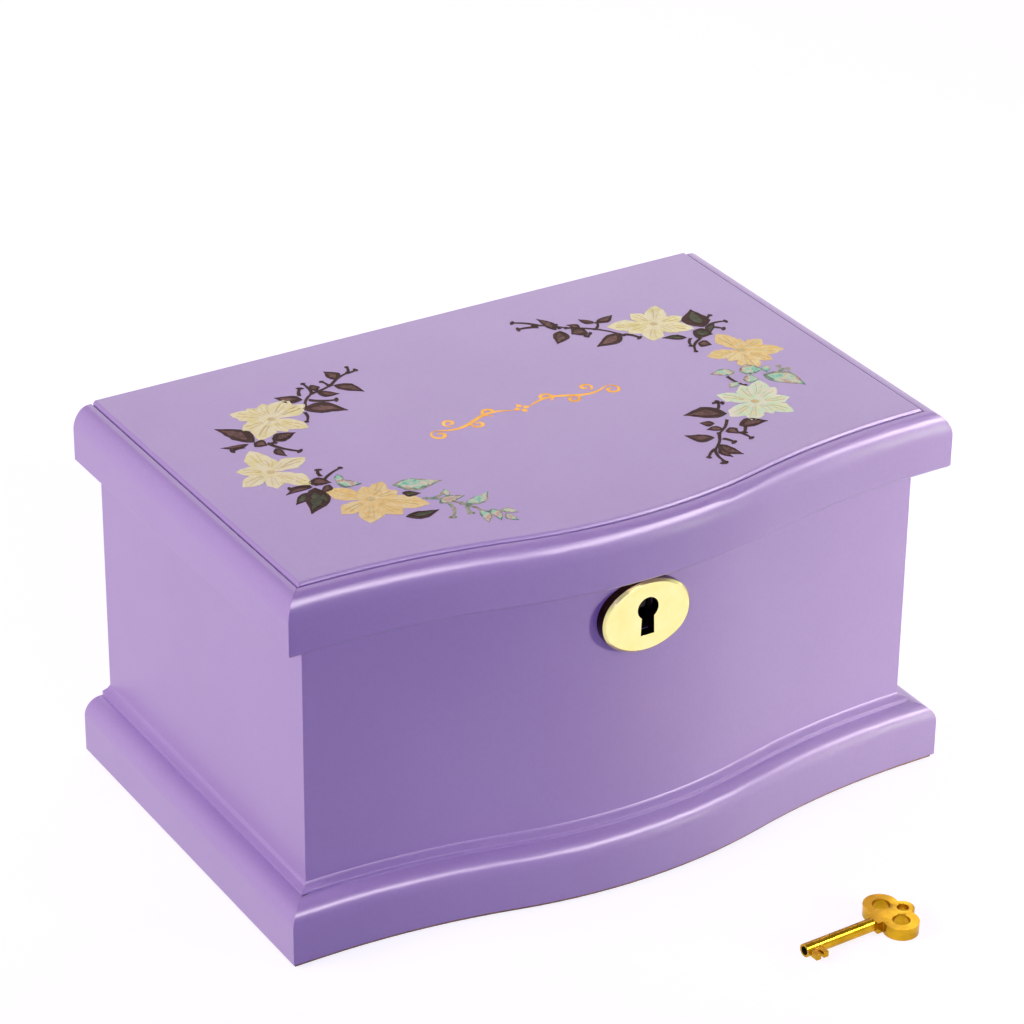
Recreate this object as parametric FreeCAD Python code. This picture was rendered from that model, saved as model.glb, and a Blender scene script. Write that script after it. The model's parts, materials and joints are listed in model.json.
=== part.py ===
import FreeCAD, Part
import math
import os
from FreeCAD import Vector

# Ballerina jewellery box with a serpentine front, a lock, and a musical movement that turns a dancer.
# Millimetres, +Z up, the front towards -Y. The origin is on the table at the middle of the footprint.

# Case
PLINTH_WIDTH = 220.0
PLINTH_DEPTH = 144.2
BOX_HEIGHT = 117.0
LID_HEIGHT = 18.1
WALL = 8.0
BOW_DEPTH = 12.3
BOW_FLAT = 1.0
BOW_CROWN_WIDTH = 79.0
RIM_GAP = 0.4
FELT = 1.0
FELT_INSET = 0.8
BASE_BOARD = 4.0
WINDING_SPACE = 11.0
WINDING_HOLE_RADIUS = 20.0
FLOOR_BOARD = 4.0

# Plinth moulding, from the wall outwards: canted cove, falling shelf, step, ledge, ovolo
PLINTH_HEIGHT = 20.9
PLINTH_PROJECTION = 8.8
PLINTH_COVE = 0.8
PLINTH_SHELF = 1.8
PLINTH_SHELF_FALL = 0.6
PLINTH_STEP = 1.3
PLINTH_LEDGE = 0.7

# Lid: a panel let into a moulded rim, with a quirk between the two
LID_OVERHANG = 8.0
PANEL_INSET = 6.6
PANEL_THICKNESS = 7.0
PANEL_BEVEL = 0.7
QUIRK_WIDTH = 0.5
QUIRK_DEPTH = 0.6
LIP_DROP = 0.8
LIP_FILLET = 0.9
LID_OVOLO_HEIGHT = 6.8
LID_OVOLO_SHOULDER = 4.0
LID_ARRIS = 0.8
BACK_RAIL_WIDTH = 14.0
BACKING = 2.0
MIRROR_SIDE_MARGIN = 18.2
MIRROR_END_MARGIN = 12.5
MIRROR_GLASS = 3.0
MIRROR_FRAME_WIDTH = 5.0
MIRROR_FRAME_LAP = 2.0
MIRROR_FRAME_LIP = 1.2

# Hinges
HINGE_INSET = 35.2
HINGE_LENGTH = 26.0
HINGE_LEAF_DEPTH = 7.5
HINGE_LEAF = 1.2
KNUCKLE_RADIUS = 2.0
KNUCKLE_LENGTH = 8.4
KNUCKLE_GAP = 0.3
HINGE_PIN_RADIUS = 0.9
RUNNING_CLEARANCE = 0.05

# Lid stay: a slotted arm whose two studs are equally far from the hinge line
LID_OPEN_ANGLE = 98.0
STAY_RADIUS = 38.0
STAY_LID_RISE = 4.6
STAY_CASE_DROP = 9.0
STAY_THICKNESS = 1.2
STAY_WIDTH = 6.0
STAY_STUD_RADIUS = 1.5
STAY_SLOT_CLEARANCE = 0.15
STAY_HEAD_RADIUS = 2.8
STAY_HEAD = 1.2
STAY_SIDE_GAP = 0.3
STAY_STANDOFF = 1.5
STAY_STUD_DEPTH = 4.0

# Lock and escutcheon
LOCK_WIDTH = 32.0
LOCK_HEIGHT = 24.0
LOCK_DEPTH = 7.0
LOCK_INSET = 5.5
LOCK_SHEET = 1.2
KEYHOLE_DROP = 11.5
KEYHOLE_RADIUS = 3.45
KEYHOLE_LENGTH = 11.9
KEYHOLE_NECK = 3.9
KEYHOLE_FOOT = 4.5
DRILL_PIN_RADIUS = 1.2
ESCUTCHEON_WIDTH = 29.0
ESCUTCHEON_HEIGHT = 22.5
ESCUTCHEON_DROP = 2.6
ESCUTCHEON_PROUD = 3.2
ESCUTCHEON_END_RADIUS = 9.6
ESCUTCHEON_BEVEL = 0.8
BOLT_TRAVEL = 4.5
BOLT_LENGTH = 12.8
BOLT_HEIGHT = 4.0
BOLT_TOP_GAP = 2.6
BOLT_NOSE_LENGTH = 4.4
BOLT_NOSE_HEIGHT = 3.0
BOLT_NOSE_THICKNESS = 1.2
BOLT_CLEARANCE = 0.2
LINK_PLATE_LENGTH = 26.0
LINK_PLATE = 1.5
PRONG_GAP = 0.8
PRONG_THICKNESS = 2.0
PRONG_WIDTH = 3.2
PRONG_LENGTH = 9.0
PRONG_CLEARANCE = 0.6
PRONG_WINDOW_GAP = 0.4

# Key on the table
KEY_LENGTH = 38.2
KEY_BARREL_RADIUS = 2.0
KEY_BORE_RADIUS = 1.35
KEY_BORE_DEPTH = 12.0
KEY_BIT_LENGTH = 4.2
KEY_BIT_REACH = 2.8
KEY_BIT_THICKNESS = 1.8
KEY_BIT_START = 0.7
KEY_BIT_NOTCH = 0.9
KEY_NECK_LENGTH = 3.0
KEY_NECK_WIDTH = 5.2
KEY_BOW_THICKNESS = 3.6
KEY_LOBE_RADIUS = 5.2
KEY_LOBE_HOLE = 2.6
KEY_LOBE_SPREAD = 4.7
KEY_END_LOBE_RADIUS = 3.4
KEY_END_LOBE_HOLE = 1.7
KEY_END_LOBE_REACH = 4.2
KEY_TIP_X = 15.7
KEY_TIP_Y = -126.5
KEY_TURN = 2.2

# Inside of the case
LINING = 1.0
LINING_REVEAL = 1.5
STAGE_BOARD = 3.0
STAGE_GAP = 1.5
STAGE_HEADROOM = 1.1
STAGE_MIRROR_SIDE_MARGIN = 12.0
STAGE_MIRROR_END_MARGIN = 7.0
STAGE_MIRROR = 2.0
RING_ROLL_COUNT = 4
RING_ROLL_FLATS = 8
RING_ROLL_HEIGHT = 24.0
RING_ROLL_GAP = 0.4

# Movement: bedplate and spring barrel
BEDPLATE = 2.4
BEDPLATE_EDGE = 1.4
BEDPLATE_CORNER = 3.0
BARREL_LIFT = 1.8
FLANGE = 1.6
DRUM_RADIUS = 11.2
DRUM_HEIGHT = 14.9
SPINDLE_RADIUS = 1.5
SPINDLE_CLEARANCE = 0.5
ARBOR_RADIUS = 1.6
ARBOR_END_GAP = 3.0
ARBOR_HOLE_CLEARANCE = 1.0
END_SHAKE = 0.4
WINDING_SPAN = 22.0
WINDING_WING = 2.2
WINDING_HUB_RADIUS = 2.8

# Movement: gears. Teeth are thinner than half a pitch, for running backlash.
CROWN_TEETH = 24
PINION_TEETH = 12
CROWN_MODULE = 1.12
CROWN_FACE = 2.0
FLANGE_RIM = 0.4
PINION_FACE = 1.4
CYLINDER_GEAR_TEETH = 24
GOVERNOR_PINION_TEETH = 8
TRAIN_MODULE = 0.625
TRAIN_FACE = 1.4
WORM_WHEEL_TEETH = 16
WORM_MODULE = 0.625
WORM_WHEEL_FACE = 1.4
WORM_PITCH_RADIUS = 2.0
WORM_BACKLASH = 0.4
WORM_TURNS = 3
BAR_SIDES = 12
DRUM_SIDES = 40
ROOT_SHARE = 0.45
TIP_SHARE = 0.2
TOOTH_ADDENDUM = 0.85
TOOTH_DEDENDUM = 1.2

# Movement: cylinder, comb and governor
CYLINDER_RADIUS = 6.2
CYLINDER_LENGTH = 20.0
CYLINDER_ARBOR_RADIUS = 1.1
PIN_HEIGHT = 0.7
PIN_SIDE = 0.4
PIN_TURN = 137.5
COMB_TEETH = 18
COMB_PITCH = 1.05
COMB_SLOT = 0.3
COMB_THICKNESS = 0.9
COMB_BASE = 2.7
COMB_BASE_DEPTH = 7.0
COMB_TIP_GAP = 0.35
COMB_LENGTH = 12.0
COMB_SLOT_STEP = 0.28
BEARING = 1.2
BEARING_WIDTH = 8.0
BEARING_CAP = 3.0
BEARING_FOOT = 5.0
SIDE_GAP = 0.8
GOVERNOR_ARBOR_RADIUS = 0.7
FAN_RADIUS = 4.4
FAN_HEIGHT = 5.6
FAN_BLADE = 0.5
FAN_GAP = 1.0
BRACKET_TOP_GAP = 1.3

# Stop plunger beside the back wall
PLUNGER_RADIUS = 1.1
PLUNGER_WALL_GAP = 2.6
PLUNGER_CLEARANCE = 0.15
PLUNGER_TOP_GAP = 0.3
PLUNGER_BOSS_WIDTH = 4.4
PLUNGER_BOSS = 7.0
FINGER_WIDTH = 2.0
FINGER_HEIGHT = 1.4
FINGER_GAP = 0.4
FINGER_LENGTH = 7.2
FINGER_SHARE_DOWN = 2.6
STOP_SPRING = 0.4
STOP_SPRING_WIDTH = 3.0
STOP_SPRING_FOOT = 3.0
STOP_SPRING_GAP = 0.3

# Dancer
DANCER_HEIGHT = 43.0
DANCER_BASE_RADIUS = 6.0
DANCER_BASE = 2.0
DANCER_BASE_GAP = 0.6
SPINDLE_SEAT = 1.2
DANCER_SIDES = 8
KNEE_SHARE = 0.23
HIP_SHARE = 0.47
WAIST_SHARE = 0.56
BUST_SHARE = 0.64
SHOULDER_SHARE = 0.69
CHIN_SHARE = 0.74
CROWN_SHARE = 0.86
SHARE_STEP = 0.04
HIP_RADIUS = 2.9
WAIST_RADIUS = 1.9
BUST_RADIUS = 2.5
NECK_RADIUS = 1.0
HEAD_RADIUS = 2.6
BUN_RADIUS = 1.4
THIGH_RADIUS = 1.5
CALF_RADIUS = 1.0
FOOT_RADIUS = 0.5
LEG_SPREAD = 0.8
ARM_RADIUS = 0.8
HAND_RADIUS = 0.4
ELBOW_REACH = 5.4
TUTU_RADIUS = 11.5
TUTU_WAIST_GAP = 0.1
TUTU_THICKNESS = 0.7
TUTU_FOLDS = 14
TUTU_WAVE = 0.9
TUTU_DROOP = 1.6

ORIGIN = Vector(0, 0, 0)
RIGHT = Vector(1, 0, 0)
BACK = Vector(0, 1, 0)
UP = Vector(0, 0, 1)

# Derived places of the case
body_half = PLINTH_WIDTH / 2 - PLINTH_PROJECTION
inner_half = body_half - WALL
back_y = PLINTH_DEPTH / 2
inner_back = back_y - WALL
front_y = BOW_DEPTH + PLINTH_PROJECTION - back_y
apex_y = front_y - BOW_DEPTH
inner_apex_y = apex_y + WALL
lid_z = BOX_HEIGHT - LID_HEIGHT
rim_z = lid_z - RIM_GAP
base_top = FELT + BASE_BOARD
floor_z = base_top + WINDING_SPACE
floor_top = floor_z + FLOOR_BOARD
panel_z = BOX_HEIGHT - PANEL_THICKNESS
panel_u = LID_OVERHANG - PANEL_INSET
corner_reach = max(PLINTH_PROJECTION, LID_OVERHANG) + WALL
lined_half = inner_half - LINING
lined_back = inner_back - LINING

# Serpentine front: a convex crown between two hollows, tangent to each other and to the straight ends
bow_half = body_half - BOW_FLAT
bow_angle = 2 * math.atan(BOW_DEPTH / bow_half)
crown_radius = BOW_CROWN_WIDTH / 2 / math.sin(bow_angle)
hollow_radius = (bow_half - BOW_CROWN_WIDTH / 2) / math.sin(bow_angle)

# Derived places of the hinge line and the stay
hinge_y = back_y + KNUCKLE_RADIUS + KNUCKLE_GAP
hinge_z = (rim_z + lid_z) / 2
stay_lid_angle = math.asin(STAY_LID_RISE / STAY_RADIUS)
stay_case_angle = math.asin(STAY_CASE_DROP / STAY_RADIUS)
stay_outer_x = lined_half - STAY_STANDOFF
stay_inner_x = stay_outer_x - STAY_THICKNESS

# Derived places of the lock
lock_front_y = inner_apex_y - LOCK_INSET
lock_back_y = lock_front_y + LOCK_DEPTH
lock_room_front = lock_front_y + LOCK_SHEET
lock_room_back = lock_back_y - LOCK_SHEET
lock_middle_y = (lock_room_front + lock_room_back) / 2
keyhole_z = rim_z - KEYHOLE_DROP
bolt_top = rim_z - LOCK_SHEET - BOLT_TOP_GAP
bolt_bottom = bolt_top - BOLT_HEIGHT
prong_x = BOLT_NOSE_LENGTH + PRONG_GAP

# Derived places of the movement, whose plunger stands beside the back wall and whose train runs forward from it
train_distance = (CYLINDER_GEAR_TEETH + GOVERNOR_PINION_TEETH) * TRAIN_MODULE / 2
worm_wheel_radius = WORM_WHEEL_TEETH * WORM_MODULE / 2
plunger_y = lined_back - PLUNGER_WALL_GAP
finger_tip_y = plunger_y - FINGER_LENGTH
worm_y = finger_tip_y - FINGER_GAP - FAN_RADIUS
governor_y = worm_y - worm_wheel_radius - WORM_PITCH_RADIUS - WORM_BACKLASH
stage_y = governor_y - train_distance
bed_top = floor_top + BEDPLATE
flange_z = bed_top + BARREL_LIFT
crown_root_z = flange_z + FLANGE
crown_pitch_radius = CROWN_TEETH * CROWN_MODULE / 2
pinion_pitch_radius = PINION_TEETH * CROWN_MODULE / 2
crown_outer_radius = crown_pitch_radius + CROWN_FACE / 2
flange_radius = crown_outer_radius + FLANGE_RIM
axle_z = crown_root_z + TOOTH_DEDENDUM * CROWN_MODULE + pinion_pitch_radius
drum_top = crown_root_z + DRUM_HEIGHT
arbor_top = drum_top - ARBOR_END_GAP
pinion_x = crown_pitch_radius - PINION_FACE / 2
inner_bearing_x = flange_radius + SIDE_GAP
cylinder_x = inner_bearing_x + BEARING + SIDE_GAP
cylinder_gear_x = cylinder_x + CYLINDER_LENGTH + SIDE_GAP
worm_wheel_x = cylinder_gear_x + TRAIN_FACE + SIDE_GAP
outer_bearing_x = worm_wheel_x + WORM_WHEEL_FACE + SIDE_GAP
worm_x = worm_wheel_x + WORM_WHEEL_FACE / 2
worm_pitch = math.pi * WORM_MODULE
worm_low_z = axle_z - worm_pitch * (WORM_TURNS // 2 + 0.25)
worm_high_z = worm_low_z + WORM_TURNS * worm_pitch
fan_z = worm_high_z + FAN_GAP
fan_top = fan_z + FAN_HEIGHT
finger_z = fan_top - FINGER_SHARE_DOWN
bracket_top_z = fan_top + BRACKET_TOP_GAP
governor_bracket_x = cylinder_gear_x - SIDE_GAP - 2 * BEARING
comb_tip_y = stage_y - CYLINDER_RADIUS - PIN_HEIGHT - COMB_TIP_GAP
comb_root_y = comb_tip_y - COMB_LENGTH
comb_back_y = comb_root_y - COMB_BASE_DEPTH
comb_x = cylinder_x + (CYLINDER_LENGTH - COMB_TEETH * COMB_PITCH) / 2
comb_base_z = axle_z - COMB_BASE
plunger_x = worm_x
bed_left = -flange_radius - BEDPLATE_EDGE
bed_right = outer_bearing_x + BEARING + BEDPLATE_EDGE
bed_front = comb_back_y - BEDPLATE_EDGE
bed_back = plunger_y + PLUNGER_BOSS_WIDTH / 2

# Derived places of the stage, which stands clear of the movement on every side
stage_half = bed_right + STAGE_GAP + STAGE_BOARD
stage_front = bed_front - STAGE_GAP - STAGE_BOARD
stage_z = bracket_top_z + BEARING + STAGE_HEADROOM
stage_top_z = stage_z + STAGE_BOARD
stage_mirror_z = stage_top_z + STAGE_MIRROR
dancer_z = stage_mirror_z + DANCER_BASE_GAP


def box(x, y, z):
    """Box between two limits along each axis."""
    return Part.makeBox(x[1] - x[0], y[1] - y[0], z[1] - z[0], Vector(x[0], y[0], z[0]))


def rod(radius, start, end):
    """Cylinder between two points."""
    start = Vector(*start)
    axis = Vector(*end) - start
    return Part.makeCylinder(radius, axis.Length, start, axis)


def polygon(points):
    """Face inside a closed row of points."""
    points = [Vector(*point) for point in points]
    return Part.Face(Part.makePolygon(points + points[:1]))


def ring_points(radius, centre, sides):
    """Corners of a level regular polygon about a point."""
    x, y, z = centre
    turns = [2 * math.pi * number / sides for number in range(sides)]
    return [(x + radius * math.cos(turn), y + radius * math.sin(turn), z) for turn in turns]


def bar(radius, start, length, along_x, sides):
    """Bar or drum with flats, along X or up."""
    shape = polygon(ring_points(radius, (0, 0, 0), sides)).extrude(UP * length)
    if along_x:
        shape.rotate(ORIGIN, BACK, 90)
    shape.translate(Vector(*start))
    return shape


def mirrored(shape):
    """The same piece on the other side of the box."""
    return shape.mirror(ORIGIN, RIGHT)


def joined(first, *others):
    """Several solids joined into one clean solid."""
    return first.fuse(list(others)).removeSplitter()


def arc(centre, start, end):
    """Circular arc of less than half a turn between two points."""
    first, second = start - centre, end - centre
    way = first + second
    return Part.Arc(start, centre + way * (first.Length / way.Length), end).toShape()


def section(start, *runs):
    """Moulding section, out from the wall and up. A run is an end point, or an arc's centre and end point."""
    edges = []
    here = Vector(start[0], 0, start[1])
    for run in runs + (start,):
        curved = isinstance(run[0], tuple)
        u, z = run[1] if curved else run
        end = Vector(u, 0, z)
        if curved:
            edges.append(arc(Vector(run[0][0], 0, run[0][1]), here, end))
        else:
            edges.append(Part.LineSegment(here, end).toShape())
        here = end
    return Part.Face(Part.Wire(edges))


def strip_section(u, z):
    """Plain rectangular section of a board."""
    return section((u[0], z[0]), (u[1], z[0]), (u[1], z[1]), (u[0], z[1]))


def along_front(face):
    """A section carried along the serpentine front, past both corners."""
    hollow_centre = Vector(-bow_half, front_y - hollow_radius, 0)
    crown_centre = Vector(0, apex_y + crown_radius, 0)
    turn = math.degrees(bow_angle)
    start = face.copy()
    start.rotate(ORIGIN, UP, -90)
    start.translate(Vector(-bow_half, front_y, 0))
    inflection = start.copy()
    inflection.rotate(hollow_centre, UP, -turn)
    straight = start.extrude(RIGHT * -(BOW_FLAT + corner_reach))
    left = straight.fuse(start.revolve(hollow_centre, UP, -turn))
    crown = inflection.revolve(crown_centre, UP, 2 * turn)
    return crown.fuse([left, mirrored(left)]).removeSplitter()


def front_region():
    """Room in front of the two mitre planes at the front corners."""
    reach = corner_reach
    far_y = apex_y - 2 * reach
    outline = [
        (-body_half - reach, far_y, 0),
        (body_half + reach, far_y, 0),
        (body_half + reach, front_y - reach, 0),
        (body_half - reach, front_y + reach, 0),
        (-body_half + reach, front_y + reach, 0),
        (-body_half - reach, front_y - reach, 0),
    ]
    return polygon(outline).extrude(UP * BOX_HEIGHT)


def front_board(face):
    """Front length of a board or moulding, mitred at both ends."""
    return along_front(face).common(front_region())


def right_board(face):
    """Right-hand length of a board or moulding, mitred at the front and square at the back."""
    run = face.copy()
    run.translate(Vector(body_half, front_y - corner_reach, 0))
    run = run.extrude(BACK * (back_y - front_y + corner_reach))
    return run.cut(front_region())


def plan_slab(half, forward, back, z):
    """Board with straight sides and back, and the serpentine front moved forward by a distance."""
    reach = half + body_half
    sine, cosine = math.sin(bow_angle), math.cos(bow_angle)
    half_sine, half_cosine = math.sin(bow_angle / 2), math.cos(bow_angle / 2)
    hollow = hollow_radius - forward
    crown = crown_radius + forward

    def place(x, ahead):
        return Vector(x, front_y - ahead, z[0])

    def hollow_point(side, s, c):
        return place(side * (bow_half - hollow * s), hollow_radius - hollow * c)

    start = place(-reach, forward)
    end = place(reach, forward)
    left_end, left_mid = hollow_point(-1, 0, 1), hollow_point(-1, half_sine, half_cosine)
    right_end, right_mid = hollow_point(1, 0, 1), hollow_point(1, half_sine, half_cosine)
    left_turn, right_turn = hollow_point(-1, sine, cosine), hollow_point(1, sine, cosine)
    apex = place(0, BOW_DEPTH - crown_radius + crown)
    back_right, back_left = Vector(reach, back, z[0]), Vector(-reach, back, z[0])
    edges = [
        Part.LineSegment(start, left_end).toShape(),
        Part.Arc(left_end, left_mid, left_turn).toShape(),
        Part.Arc(left_turn, apex, right_turn).toShape(),
        Part.Arc(right_turn, right_mid, right_end).toShape(),
        Part.LineSegment(right_end, end).toShape(),
        Part.LineSegment(end, back_right).toShape(),
        Part.LineSegment(back_right, back_left).toShape(),
        Part.LineSegment(back_left, start).toShape(),
    ]
    slab = Part.Face(Part.Wire(edges)).extrude(UP * (z[1] - z[0]))
    return slab.common(box((-half, half), (apex_y - forward - WALL, back), z))


def keyhole_tool(y):
    """Keyhole through the front, a circle over a flared slot."""
    foot_z = keyhole_z + KEYHOLE_RADIUS - KEYHOLE_LENGTH
    slot = polygon([
        (-KEYHOLE_FOOT / 2, y[0], foot_z),
        (KEYHOLE_FOOT / 2, y[0], foot_z),
        (KEYHOLE_NECK / 2, y[0], keyhole_z),
        (-KEYHOLE_NECK / 2, y[0], keyhole_z),
    ]).extrude(BACK * (y[1] - y[0]))
    return joined(slot, rod(KEYHOLE_RADIUS, (0, y[0], keyhole_z), (0, y[1], keyhole_z)))


def key_opening(y):
    """Plain slot behind the keyhole, as wide and as high."""
    top = keyhole_z + KEYHOLE_RADIUS
    return box((-KEYHOLE_RADIUS, KEYHOLE_RADIUS), y, (top - KEYHOLE_LENGTH, top))


def lock_pocket():
    """Mortise in the front panel that the lock fills, open at the rim."""
    return box((-LOCK_WIDTH / 2, LOCK_WIDTH / 2), (lock_front_y, lock_back_y), (rim_z - LOCK_HEIGHT, rim_z))


def front_panel():
    panel = front_board(strip_section((-WALL, 0), (FELT, rim_z)))
    return panel.cut([lock_pocket(), key_opening((apex_y - WALL, inner_apex_y))])


def right_panel():
    panel = right_board(strip_section((-WALL, 0), (FELT, rim_z)))
    return panel.cut(stay_case_stud())


def left_panel():
    return mirrored(right_board(strip_section((-WALL, 0), (FELT, rim_z))))


def back_panel():
    panel = box((-inner_half, inner_half), (inner_back, back_y), (FELT, rim_z))
    return panel.cut(hinge_mortises((rim_z - HINGE_LEAF, rim_z)))


def winding_hole(z):
    return rod(WINDING_HOLE_RADIUS, (0, stage_y, z[0]), (0, stage_y, z[1]))


def base_board():
    z = (FELT, base_top)
    return plan_slab(inner_half, -WALL, inner_back, z).cut(winding_hole(z))


def base_felt():
    z = (0, FELT)
    half = PLINTH_WIDTH / 2 - FELT_INSET
    return plan_slab(half, PLINTH_PROJECTION - FELT_INSET, back_y - FELT_INSET, z).cut(winding_hole(z))


def floor_board():
    board = plan_slab(inner_half, -WALL, inner_back, (floor_z, floor_top))
    shaft_radius = ARBOR_RADIUS + ARBOR_HOLE_CLEARANCE
    shaft_hole = rod(shaft_radius, (0, stage_y, floor_z), (0, stage_y, floor_top))
    return board.cut(shaft_hole)


def plinth_section():
    shelf_u = PLINTH_COVE + PLINTH_SHELF
    ovolo_u = shelf_u + PLINTH_LEDGE
    ovolo = PLINTH_PROJECTION - ovolo_u
    cove_z = PLINTH_HEIGHT - PLINTH_COVE
    shelf_z = cove_z - PLINTH_SHELF_FALL
    ledge_z = shelf_z - PLINTH_STEP
    return section(
        (0, FELT),
        (PLINTH_PROJECTION, FELT),
        (PLINTH_PROJECTION, ledge_z - ovolo),
        ((ovolo_u, ledge_z - ovolo), (ovolo_u, ledge_z)),
        (shelf_u, ledge_z),
        (shelf_u, shelf_z),
        (PLINTH_COVE, cove_z),
        (0, PLINTH_HEIGHT),
    )


def plinth_front():
    return front_board(plinth_section())


def plinth_right():
    return right_board(plinth_section())


def plinth_left():
    return mirrored(plinth_right())


def rail_section():
    """Lid rim: bevelled arris, upright face, ovolo of two radii, quirk, and the rebate for the panel."""
    lip_z = BOX_HEIGHT - LIP_DROP
    quirk_u = panel_u + QUIRK_WIDTH
    ovolo_u = quirk_u + LIP_FILLET
    ovolo_z = lip_z - LID_OVOLO_HEIGHT
    width = LID_OVERHANG - ovolo_u
    shoulder = LID_OVOLO_SHOULDER
    side = (width**2 + LID_OVOLO_HEIGHT**2 - 2 * LID_OVOLO_HEIGHT * shoulder) / (2 * (width - shoulder))
    shoulder_centre = (ovolo_u, lip_z - shoulder)
    side_centre = (LID_OVERHANG - side, ovolo_z)
    reach = shoulder / (side - shoulder)
    meeting = tuple(a + (a - b) * reach for a, b in zip(shoulder_centre, side_centre))
    return section(
        (-WALL, lid_z),
        (LID_OVERHANG - LID_ARRIS, lid_z),
        (LID_OVERHANG, lid_z + LID_ARRIS),
        (LID_OVERHANG, ovolo_z),
        (side_centre, meeting),
        (shoulder_centre, (ovolo_u, lip_z)),
        (quirk_u, lip_z),
        (quirk_u, lip_z - QUIRK_DEPTH),
        (panel_u, lip_z - QUIRK_DEPTH),
        (panel_u, panel_z),
        (-WALL, panel_z),
    )


def lid_rail_front():
    return front_board(rail_section()).cut(link_plate_bed())


def lid_rail_right():
    return right_board(rail_section()).cut(stay_lid_stud())


def lid_rail_left():
    return mirrored(right_board(rail_section()))


def lid_rail_back():
    rail = box((-inner_half, inner_half), (back_y - BACK_RAIL_WIDTH, back_y), (lid_z, panel_z))
    return rail.cut(hinge_mortises((lid_z, lid_z + HINGE_LEAF)))


def lid_panel():
    panel = plan_slab(body_half + panel_u, panel_u, back_y, (panel_z, BOX_HEIGHT))
    shown = [
        edge for edge in panel.Edges
        if edge.BoundBox.ZMin > BOX_HEIGHT - 1e-3 and edge.BoundBox.YMin < back_y - 1e-3
    ]
    return panel.makeChamfer(PANEL_BEVEL, shown)


def lid_backing():
    return plan_slab(inner_half, -WALL, back_y - BACK_RAIL_WIDTH, (panel_z - BACKING, panel_z))


def mirror_room(margin, z):
    """Box round the lid's mirror, wider by a margin on each side."""
    half = inner_half - MIRROR_SIDE_MARGIN + margin
    front = front_y + WALL + MIRROR_END_MARGIN - margin
    back = back_y - BACK_RAIL_WIDTH - MIRROR_END_MARGIN + margin
    return box((-half, half), (front, back), z)


def lid_mirror():
    top = panel_z - BACKING
    return mirror_room(0, (top - MIRROR_GLASS, top))


def mirror_frame():
    top = panel_z - BACKING
    bottom = top - MIRROR_GLASS - MIRROR_FRAME_LIP
    frame = mirror_room(MIRROR_FRAME_WIDTH - MIRROR_FRAME_LAP, (bottom, top))
    return frame.cut([lid_mirror(), mirror_room(-MIRROR_FRAME_LAP, (bottom, top))])


def hinge_centres():
    return (HINGE_INSET - inner_half, inner_half - HINGE_INSET)


def hinge_mortises(z):
    half = HINGE_LENGTH / 2
    y = (back_y - HINGE_LEAF_DEPTH, back_y)
    return [box((x - half, x + half), y, z) for x in hinge_centres()]


def hinge_leaf(x, z, spans):
    """Leaf of one hinge, with a tongue and a knuckle over each span."""
    half = HINGE_LENGTH / 2
    leaf = box((x - half, x + half), (back_y - HINGE_LEAF_DEPTH, back_y), z)
    for start, end in spans:
        tongue = box((x + start, x + end), (back_y, hinge_y), z)
        knuckle = rod(KNUCKLE_RADIUS, (x + start, hinge_y, hinge_z), (x + end, hinge_y, hinge_z))
        leaf = joined(leaf, tongue, knuckle)
    return leaf


def hinge_pin(x, radius):
    half = HINGE_LENGTH / 2
    return rod(radius, (x - half, hinge_y, hinge_z), (x + half, hinge_y, hinge_z))


def case_leaf(x):
    """Leaf with two knuckles and the pin riveted between them."""
    half, inner = HINGE_LENGTH / 2, KNUCKLE_LENGTH / 2 + KNUCKLE_GAP
    leaf = hinge_leaf(x, (rim_z - HINGE_LEAF, rim_z), [(-half, -inner), (inner, half)])
    return joined(leaf, hinge_pin(x, HINGE_PIN_RADIUS))


def lid_leaf(x):
    inner = KNUCKLE_LENGTH / 2
    leaf = hinge_leaf(x, (lid_z, lid_z + HINGE_LEAF), [(-inner, inner)])
    return leaf.cut(hinge_pin(x, HINGE_PIN_RADIUS + RUNNING_CLEARANCE))


def stay_point(angle):
    """Height and depth of a stud at an angle above the line from the hinge to the front."""
    return (hinge_y - STAY_RADIUS * math.cos(angle), hinge_z + STAY_RADIUS * math.sin(angle))


def stay_stud(y, z):
    """Headed stud let into the side, whose neck passes through the arm."""
    head_x = stay_inner_x - STAY_SIDE_GAP
    neck = rod(STAY_STUD_RADIUS, (inner_half + STAY_STUD_DEPTH, y, z), (head_x, y, z))
    head = rod(STAY_HEAD_RADIUS, (head_x, y, z), (head_x - STAY_HEAD, y, z))
    return joined(neck, head)


def stay_lid_stud():
    return stay_stud(*stay_point(stay_lid_angle))


def stay_case_stud():
    return stay_stud(*stay_point(-stay_case_angle))


def stay_span(opening):
    """Distance between the studs with the lid open by an angle in degrees."""
    return 2 * STAY_RADIUS * math.sin((stay_lid_angle + stay_case_angle + math.radians(opening)) / 2)


def slot_shape(radius, start, end):
    """Straight bar with round ends, as thick as the arm, from the lid stud down."""
    x = (stay_inner_x, stay_outer_x)
    bar = box(x, (-radius, radius), (-end, -start))
    ends = [rod(radius, (x[0], 0, -z), (x[1], 0, -z)) for z in (start, end)]
    return joined(bar, *ends)


def stay_arm():
    neck = STAY_STUD_RADIUS + STAY_SLOT_CLEARANCE
    open_span = stay_span(LID_OPEN_ANGLE)
    arm = slot_shape(STAY_WIDTH / 2, 0, open_span)
    pivot = rod(neck, (stay_inner_x, 0, 0), (stay_outer_x, 0, 0))
    arm = arm.cut([slot_shape(neck, stay_span(0), open_span), pivot])
    lid_y, lid_stud_z = stay_point(stay_lid_angle)
    case_y, case_stud_z = stay_point(-stay_case_angle)
    lean = math.degrees(math.atan2(case_y - lid_y, lid_stud_z - case_stud_z))
    arm.rotate(ORIGIN, RIGHT, lean)
    arm.translate(Vector(0, lid_y, lid_stud_z))
    return arm


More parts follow.
